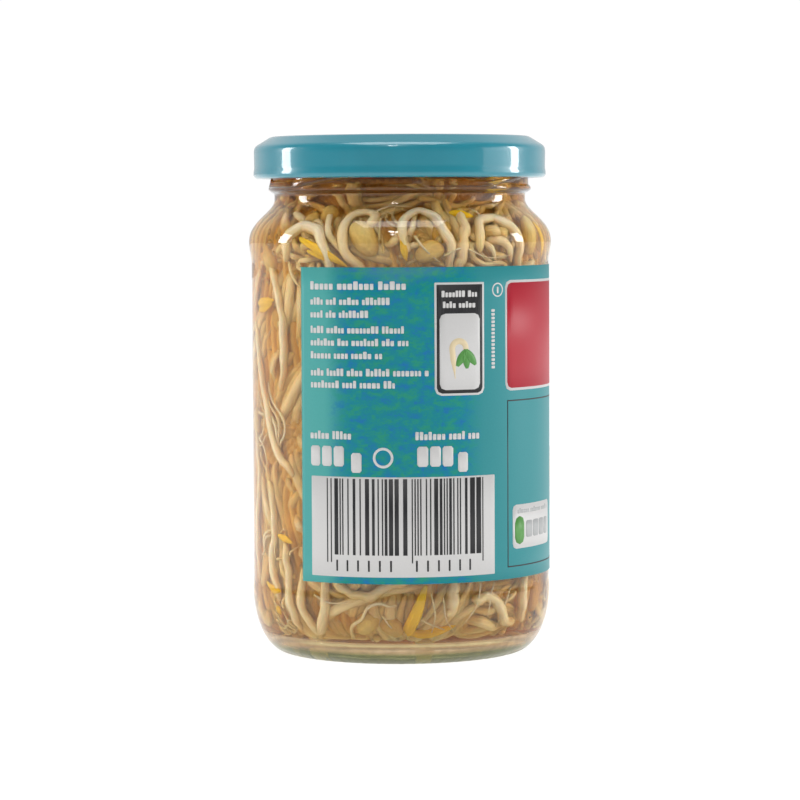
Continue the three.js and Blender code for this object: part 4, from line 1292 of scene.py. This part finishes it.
def settle(angle, z, radius, least):
    """Depth of each point of a path: behind all that is taken there, eased along the path.

    The need is spread over its neighbours by a running maximum and then averaged, so that the
    stem bends gently over what it crosses.
    """
    column, row, bulge = footprint(angle, z, radius)
    need = np.maximum(np.max(taken[column, row] + bulge, axis=-1), least)
    need = np.max(neighbours(need, REACH_STEPS), axis=-1)
    return np.mean(neighbours(need, EASE_STEPS), axis=-1)


def occupy(angle, z, radius, depth):
    """Adds a laid stem's own room to the map."""
    column, row, bulge = footprint(angle, z, radius)
    np.maximum.at(taken, (column, row), depth[..., None] + bulge)


for spots, radius in loose_paths.values():
    occupy(spots[:, 0], spots[:, 1], radius, np.full(len(spots), radius))
for name, (angle, z, way, size) in BEANS.items():
    for turn, lift in [(0, 0)] + [BACK_COPIES[n] for n in [name] if n in BACK_COPIES]:
        spread = np.linspace(-0.5, 0.5, 5) * size[0]
        occupy(angle + turn + spread * np.cos(np.radians(way)) / ARC,
               z + lift + spread * np.sin(np.radians(way)), size[1], np.full(5, size[2]))


# %% [markdown]
# The yellow strap leaves and fine root threads that catch the eye are placed next, so that
# nothing lies in front of them. A strap is a stem whose section is squeezed flat.

# %% Strap leaves and root threads
STRAP_STEPS, THREAD_STEPS = 25, 40
STRAP_DEPTH, STRAP_ROOM = 0.4, 1.1
STRAPS = [
    (1.35, [(10, 19), (6.5, 13), (3, 8.6), (1.8, 7.9)]),
    (1.0, [(2, 8.2), (9, 7.7), (16, 8.2), (24, 9.4)]),
    (1.1, [(-44, 99.6), (-35, 97.6), (-28, 95.4), (-22, 93.4)]),
    (0.8, [(-40, 97.2), (-32, 95.6), (-26, 94.6)]),
    (0.9, [(1, 100.6), (1.6, 97.6), (2.6, 94.8)]),
    (1.1, [(23, 104.6), (28, 104.2), (34, 103.4)]),
    (1.1, [(-78, 84.2), (-71, 84.6), (-62, 85.2)]),
    (0.9, [(-77, 82.6), (-70, 83.2), (-63, 84.4)]),
    (1.0, [(72, 101.6), (75, 98.6), (76, 95.4)]),
    (0.9, [(-60, 29.4), (-55, 28.8), (-50, 28)]),
    (1.0, [(-70, 17.6), (-64, 16.2), (-58, 15.8)]),
    (0.9, [(-62, 12.6), (-61, 10.6)]),
    (1.0, [(46, 112.6), (54, 113.4), (62, 113)]),
    (1.1, [(150, 99), (158, 97), (166, 95)]), (1.1, [(230, 98), (238, 100.6), (246, 99)]),
    (1.2, [(118, 18), (122, 12), (128, 8.4)]), (1.1, [(196, 16), (204, 10), (212, 8.6)]),
]
strap_paths, strap_halves = [], []
for half, places in STRAPS:
    spots = smooth_path(places, STRAP_STEPS)
    occupy(spots[:, 0], spots[:, 1], half + 0.5, np.full(STRAP_STEPS, STRAP_ROOM))
    strap_paths.append(on_sheet(spots[:, 0], spots[:, 1], STRAP_DEPTH))
    strap_halves.append(half * np.sin(np.pi * np.linspace(0.06, 0.98, STRAP_STEPS)) ** 0.7)
strap_mesh = stem_mesh("strap_leaves", np.array(strap_paths), np.array(strap_halves),
                       np.arange(len(STRAPS)), np.full(len(STRAPS), 0.5), sides=10, flat=0.3)
place("strap_leaves", strap_mesh, leaf_flesh, "jar_body")

THREADS = [
    (0.45, [(-24, 6.6), (-22, 9.4), (-17, 11.2), (-14, 13.8), (-9, 14.8), (-5, 14.2), (-2, 14.4)]),
    (0.3, [(38, 103), (37, 104.6), (34, 105.6)]),
    (0.25, [(18, 96), (26, 97.6), (38, 95.4), (50, 96)]),
    (0.22, [(-8, 12), (-4, 9), (2, 6.9)]), (0.22, [(12, 17), (14, 12), (13.6, 7.6)]),
    (0.2, [(17, 16), (19, 11), (24, 8)]), (0.24, [(34, 19), (32.4, 14), (27, 9)]),
    (0.2, [(8, 11), (14, 9.6), (20, 8.4)]), (0.24, [(41, 19), (39, 15.6), (38.6, 11)]),
    (0.22, [(50, 17), (47, 13), (46, 8.4)]), (0.3, [(-12, 104.6), (-4, 106.6), (6, 106.2)]),
    (0.3, [(6, 100), (10, 97.4), (16, 94.4)]), (0.25, [(-38, 16), (-30, 14.6), (-20, 15)]),
]
thread_paths = []
for radius, places in THREADS:
    spots = smooth_path(places, THREAD_STEPS)
    occupy(spots[:, 0], spots[:, 1], 0.5, np.full(THREAD_STEPS, 2 * radius))
    thread_paths.append(on_sheet(spots[:, 0], spots[:, 1], radius))
thread_radii = np.array([r for r, _ in THREADS])[:, None] * np.linspace(1, 0.5, THREAD_STEPS)
thread_mesh = stem_mesh("root_threads", np.array(thread_paths), thread_radii,
                        np.arange(len(THREADS)) * 1.0, np.full(len(THREADS), 0.2), sides=6)
place("root_threads", thread_mesh, sprout_flesh, "jar_body")

# %% [markdown]
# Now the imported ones. Each is an arc with a gentle wave, laid in bundles of five side by side.
# Where they go and how they lean depends on the place: upright behind the side window, arched and
# crossing at the shoulder, upright and level at the heel. Three short curled clusters at the front
# come first. One group of strands follows the solid model's own rule, so that they lie where its
# strands do.

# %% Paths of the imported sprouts
SAMPLES = 73
HIGHEST_Z, LOWEST_Z = 113.2, 6.6
TURN_BACK = 3


def arcs(middle_angle, middle_z, length, turning, tilt, wave=0.0, hook=0.0):
    """Paths [sprout, sample, (angle, z)]: a heading that turns evenly, one slow wave and a hook.

    The hook turns the heading further over the first sixth, where the seed leaves are. Near the
    highest and lowest place a path is eased off by tanh.
    """
    t = np.linspace(-0.5, 0.5, SAMPLES)[None]
    heading = np.radians(tilt)[:, None] + turning[:, None] * t
    heading = heading + wave * np.sin(7 * t + middle_z[:, None])
    heading = heading + np.reshape(hook, (-1, 1)) * np.clip(-0.33 - t, 0, 1) / 0.17
    step = (length / SAMPLES)[:, None]
    x, y = np.cumsum(step * np.cos(heading), axis=1), np.cumsum(step * np.sin(heading), axis=1)
    x -= x[:, SAMPLES // 2, None]
    y -= y[:, SAMPLES // 2, None]
    z = middle_z[:, None] + y
    over = np.maximum(z - HIGHEST_Z + TURN_BACK, 0)
    under = np.maximum(LOWEST_Z + TURN_BACK - z, 0)
    z = z - over + TURN_BACK * np.tanh(over / TURN_BACK) + under - TURN_BACK * np.tanh(under / TURN_BACK)
    return np.stack([middle_angle[:, None] + x / ARC, z], -1)


def spread(count, step):
    """Numbers spread evenly from 0 to 1: multiples of a step, less their whole part."""
    return (np.arange(1, count + 1) * step) % 1


STRANDS = 36
strand_middle = 360 * spread(STRANDS, 0.618034)
strand_z = 11 + 101 * spread(STRANDS, 0.7548777)
strand_lay = np.sin(np.radians(2 * strand_middle) + strand_z / 16)
strand_tilt = np.where(strand_z > SHOULDER_Z, 30, 78) * strand_lay - 14 + 28 * spread(STRANDS, 0.5698)
strand_paths = arcs(strand_middle, strand_z, 26 + 18 * spread(STRANDS, 0.8191),
                    -1.5 + 3 * spread(STRANDS, 0.6711), strand_tilt)
strand_radii = 1.1 + 0.3 * spread(STRANDS, 0.5497)
BESIDE = (0.0, 1.0, -1.0, 2.0, -2.0)
HOOK_TURN = 2.4


def bundle(count, angles, heights, tilts, lengths, bends, jitter, wave, radii=(1.0, 1.4)):
    """Paths for one part of the jar, in bundles of five that lie side by side."""
    bundles = -(-count // len(BESIDE))

    def draw(low, high):
        """One number for each bundle, repeated for its sprouts."""
        return np.repeat(rng.uniform(low, high, bundles), len(BESIDE))[:count]

    beside = np.tile(BESIDE, bundles)[:count] * rng.uniform(1.9, 2.4, count)
    tilt = draw(*tilts) + rng.normal(0, jitter, count)
    middle_angle, middle_z = draw(*angles), draw(*heights)
    middle_angle = middle_angle - beside * np.sin(np.radians(tilt)) / ARC
    middle_z = middle_z + beside * np.cos(np.radians(tilt))
    length, turning = draw(*lengths), draw(*bends) + rng.normal(0, 0.2, count)
    hook = rng.choice([0.0, HOOK_TURN, -HOOK_TURN], count, p=[0.6, 0.2, 0.2])
    radius = rng.uniform(*radii, count)
    return arcs(middle_angle, middle_z, length, turning, tilt, wave, hook), radius


THIN = (0.22, 0.5)
WINDOW = (-112, -36)
ALL_ROUND = (-112, 248)
FRONT_CLUSTERS = 15 + 10 + 15
groups = [
    bundle(15, (-50, -31), (93, 99), (-70, -30), (12, 20), (-1.2, 1.2), 14, 0.4, (0.5, 1.0)),
    bundle(10, (-2, 12), (94, 100), (-70, 60), (8, 14), (-2.5, 2.5), 25, 0.6, (0.5, 1.0)),
    bundle(15, (30, 58), (93, 101), (-60, 60), (10, 16), (-2.0, 2.0), 20, 0.5, (0.5, 1.0)),
    bundle(24, ALL_ROUND, (8, 17), (-80, 80), (9, 18), (-3, 3), 30, 0.9, THIN),
    bundle(21, ALL_ROUND, (95, 106), (-60, 60), (9, 18), (-3, 3), 30, 0.9, THIN),
    bundle(12, WINDOW, (20, 92), (40, 130), (12, 26), (-2, 2), 20, 0.6, THIN),
    bundle(50, WINDOW, (62, 96), (50, 82), (22, 36), (-0.9, 0.9), 7, 0.2, (1.1, 1.7)),
    bundle(70, WINDOW, (12, 64), (92, 122), (22, 40), (-0.9, 0.9), 8, 0.2, (1.1, 1.7)),
    (strand_paths, strand_radii),
    bundle(135, ALL_ROUND, (94, 106), (-60, 60), (16, 30), (-2.8, 2.8), 18, 0.35, (0.9, 1.6)),
    bundle(135, ALL_ROUND, (8, 21), (45, 130), (16, 30), (-1.6, 1.6), 16, 0.35, (0.9, 1.6)),
    bundle(75, ALL_ROUND, (6.8, 10), (-25, 25), (16, 30), (-1.2, 1.2), 12, 0.3, (0.9, 1.4)),
    bundle(25, ALL_ROUND, (102, 113), (-25, 25), (20, 36), (-1.0, 1.0), 12, 0.2, (1.0, 1.5)),
    bundle(100, WINDOW, (12, 96), (45, 130), (20, 38), (-1.4, 1.4), 14, 0.3, (1.1, 1.7)),
    bundle(24, ALL_ROUND, (8, 20), (-80, 80), (12, 22), (-3, 3), 30, 0.9, THIN),
    bundle(24, ALL_ROUND, (94, 108), (-60, 60), (12, 22), (-3, 3), 30, 0.9, THIN),
    bundle(60, (-36, 250), (30, 88), (55, 120), (36, 56), (-0.8, 0.8), 9, 0.2),
    bundle(130, WINDOW, (12, 96), (30, 150), (18, 34), (-1.8, 1.8), 20, 0.35, (1.0, 1.6)),
    bundle(180, ALL_ROUND, (93, 105), (-80, 80), (14, 28), (-2.8, 2.8), 22, 0.35),
    bundle(180, ALL_ROUND, (7, 21), (-90, 90), (14, 28), (-2.2, 2.2), 22, 0.35),
]
packed_spots = np.concatenate([paths for paths, _ in groups])
packed_radii = np.concatenate([radii for _, radii in groups])
print(len(packed_spots), "packed sprouts planned")

# %% [markdown]
# They are laid one after the other. At the shoulder all but the front clusters keep a little back
# from the glass, and every third one dips inwards at its ends. A sprout that would lie too deep is
# left out, and some thick ones get their seed leaves at the head. At last the whole packing is
# squeezed towards the glass, as sprouts pressed into a jar are.

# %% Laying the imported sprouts
DEEPEST = 10.0
RING_STEP = 3
BEAN_CHANCE = 0.2
BEAN_REACH, BEAN_ROOM = 2.3, 1.9
BEAN_HALF_SIZES = (3.3, 2.3, 1.8)
END_DIP = 2.6
SET_BACK_Z, SET_BACK = (95.0, 99.0, 108.0), (0.0, 1.1, 1.3)
FREE_DEPTH, PRESSED_DEPTH = 2.3, 2.2
BATCHES = 4


def squeezed(depth):
    """Depth after pressing: kept near the glass, then eased towards a deepest layer by tanh."""
    deeper = np.maximum(depth - FREE_DEPTH, 0)
    return np.minimum(depth, FREE_DEPTH) + PRESSED_DEPTH * np.tanh(deeper / (2 * PRESSED_DEPTH))


laid, laid_depth, laid_radius, beans = [], [], [], []
t = np.linspace(0, 1, SAMPLES)
dip = END_DIP * np.abs(2 * t - 1) ** 3
for number, (spots, radius) in enumerate(zip(packed_spots, packed_radii)):
    set_back = np.interp(spots[:, 1], SET_BACK_Z, SET_BACK) if number >= FRONT_CLUSTERS else 0
    depth = settle(spots[:, 0], spots[:, 1], radius, radius + set_back + dip * (number % 3 == 0))
    chance, size, swing = rng.random(), rng.uniform(0.85, 1.15), rng.normal(0, 25)
    if np.mean(depth) > DEEPEST:
        continue
    occupy(spots[:, 0], spots[:, 1], radius, depth)
    laid.append(spots)
    laid_depth.append(depth)
    laid_radius.append(radius)
    if radius > THIN[1] and chance < BEAN_CHANCE:
        reach = BEAN_REACH * size
        sunk = settle(spots[:1, 0], spots[:1, 1], reach, BEAN_ROOM * size)[0]
        if sunk < 0.7 * DEEPEST:
            occupy(spots[:1, 0], spots[:1, 1], reach, np.array([sunk]))
            ahead = spots[0] - spots[4]
            way = np.degrees(np.arctan2(ahead[1], ARC * ahead[0]))
            beans.append((*spots[0], way + swing, size, sunk))
laid, laid_depth = np.array(laid)[:, ::RING_STEP], np.array(laid_depth)[:, ::RING_STEP]
laid_radius = np.array(laid_radius)
print(len(laid), "packed sprouts laid, deepest", round(float(laid_depth.max()), 1), "mm")

# %% [markdown]
# Each stem tapers at its ends, and by its own measure into a root, and swells a little along the
# way. They go into the scene in four pieces.

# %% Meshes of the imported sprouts
steps = np.linspace(0, 1, laid.shape[1])[None]
rooty = rng.uniform(0, 0.6, len(laid))[:, None]
tail = np.clip((steps - 0.5) / 0.5, 0, 1)
shape = (1 - 0.4 * np.abs(2 * steps - 1) ** 8) * (1 - rooty * tail**2 * (3 - 2 * tail))
phase = rng.uniform(0, 2 * np.pi, len(laid))
swell = 1 + 0.07 * np.sin(9 * steps + phase[:, None])
swell = swell + 0.04 * np.sin(23 * steps + 2 * phase[:, None])
radii = laid_radius[:, None] * shape * swell
height = np.maximum(laid[..., 1], FLOOR_Z + BRINE_INSET + 0.3 + radii)
paths = on_sheet(laid[..., 0], height, squeezed(laid_depth))
shades = rng.uniform(0, 1, len(laid))
for batch in range(BATCHES):
    pick, name = slice(batch, None, BATCHES), f"packed_sprouts_{batch + 1}"
    mesh = stem_mesh(name, paths[pick], radii[pick], phase[pick], shades[pick], sides=8, flat=0.85)
    place(name, mesh, sprout_flesh, "jar_body", ["sprout_tangle"] if batch == 0 else [])

beans = np.array(beans)
beans[:, 4] = squeezed(beans[:, 4])
bean_sizes = beans[:, 3:4] * np.array(BEAN_HALF_SIZES)
mesh = bean_mesh("packed_beans", beans[:, 0], beans[:, 1], beans[:, 2], bean_sizes, beans[:, 4],
                 rings=13, sides=16)
place("packed_beans", mesh, bean_flesh, "jar_body")
print(len(beans), "packed seed leaves")

# %% [markdown]
# Behind them all is the imported middle of the jar, which is only ever glimpsed in the gaps. It is a
# turned body with ridges that sway up the jar, like sprouts standing side by side. It is sprout flesh
# painted dark amber as shade for the dim depth of the packing, and its grooves get painted shade.

# %% The imported middle
CORE_Z, CORE_DEPTH = (9, 20, 26, 95, 104), (4.6, 4.6, 3.6, 3.6, 6.4)
CORE_STEPS, CORE_SIDES = 90, 432
CORE_RIDGES, RIDGE_HEIGHT = 72, 1.3
core_z = np.linspace(FLOOR_Z + 2.4, 113.5, CORE_STEPS)[:, None]
core_angle = np.linspace(0, 360, CORE_SIDES, endpoint=False)[None]
sway = 18 * np.sin(core_z / 17) + 6 * np.sin(core_z / 6 + 1)
ridge = np.abs(np.cos(np.radians(CORE_RIDGES * (core_angle + sway) / 2))) ** 0.7
core_depth = np.interp(core_z, CORE_Z, CORE_DEPTH)
core_radius = np.maximum(contents_radius(core_z) - core_depth + RIDGE_HEIGHT * ridge, 1)
core_rings = around(core_angle, core_radius, core_z + 0 * core_angle)[None]
core_ends = np.array([[[0, 0, FLOOR_Z + 2.2], [0, 0, 114.0]]])
# shade is the ridge value, so that the grooves take the darker colour as painted shade.
core_values = {
    "grain": np.stack(np.broadcast_arrays(core_angle / 4, core_z / 12, 0 * core_z), -1)[None],
    "along": np.full((1, CORE_STEPS, CORE_SIDES), 0.6), "shade": ridge[None].copy(),
}
# Dark amber flesh: painted shade for the deep gaps between the sprouts.
core_flesh = flesh_finish(
    "deep_flesh_painted_shade", pale=(0.72, 0.45, 0.11, 1), deep=(0.86, 0.7, 0.36, 1),
    head=(0.8, 0.55, 0.2, 1), root=(0.8, 0.52, 0.18, 1), through=0.0)
place("packed_middle", skin("packed_middle", core_rings, core_ends, core_values), core_flesh,
      "jar_body")

# %% [markdown]
# A few air bubbles cling under the shoulder. Each is a small clear ball, given by its angle, height
# and radius.

# %% Air bubbles
bubble_finish, bubble_tree, bubble_shader = finish_of(
    "air_bubble", Roughness=0.0, IOR=1.33, Transmission_Weight=1.0)
lamps_pass(bubble_tree, bubble_shader)
BUBBLES = [(-62, 98.4, 1.0), (-60, 96.6, 0.6), (-64.5, 100.4, 0.5), (-58, 99.8, 0.45), (3.4, 99.6, 0.7),
           (-7.6, 103.8, 0.5), (-50, 107.4, 0.35), (-47.6, 106.6, 0.3), (24, 99.4, 0.3),
           (140, 99, 0.8), (214, 101, 0.7), (218, 99.4, 0.4)]
bubbles = np.array(BUBBLES)
centres = on_sheet(bubbles[:, 0], bubbles[:, 1], 0.1)
bubble_rings, bubble_ends = ball_rings(centres, bubbles[:, 2], rings=11, sides=20)
place("air_bubbles", skin("air_bubbles", bubble_rings, bubble_ends), bubble_finish, "jar_body")
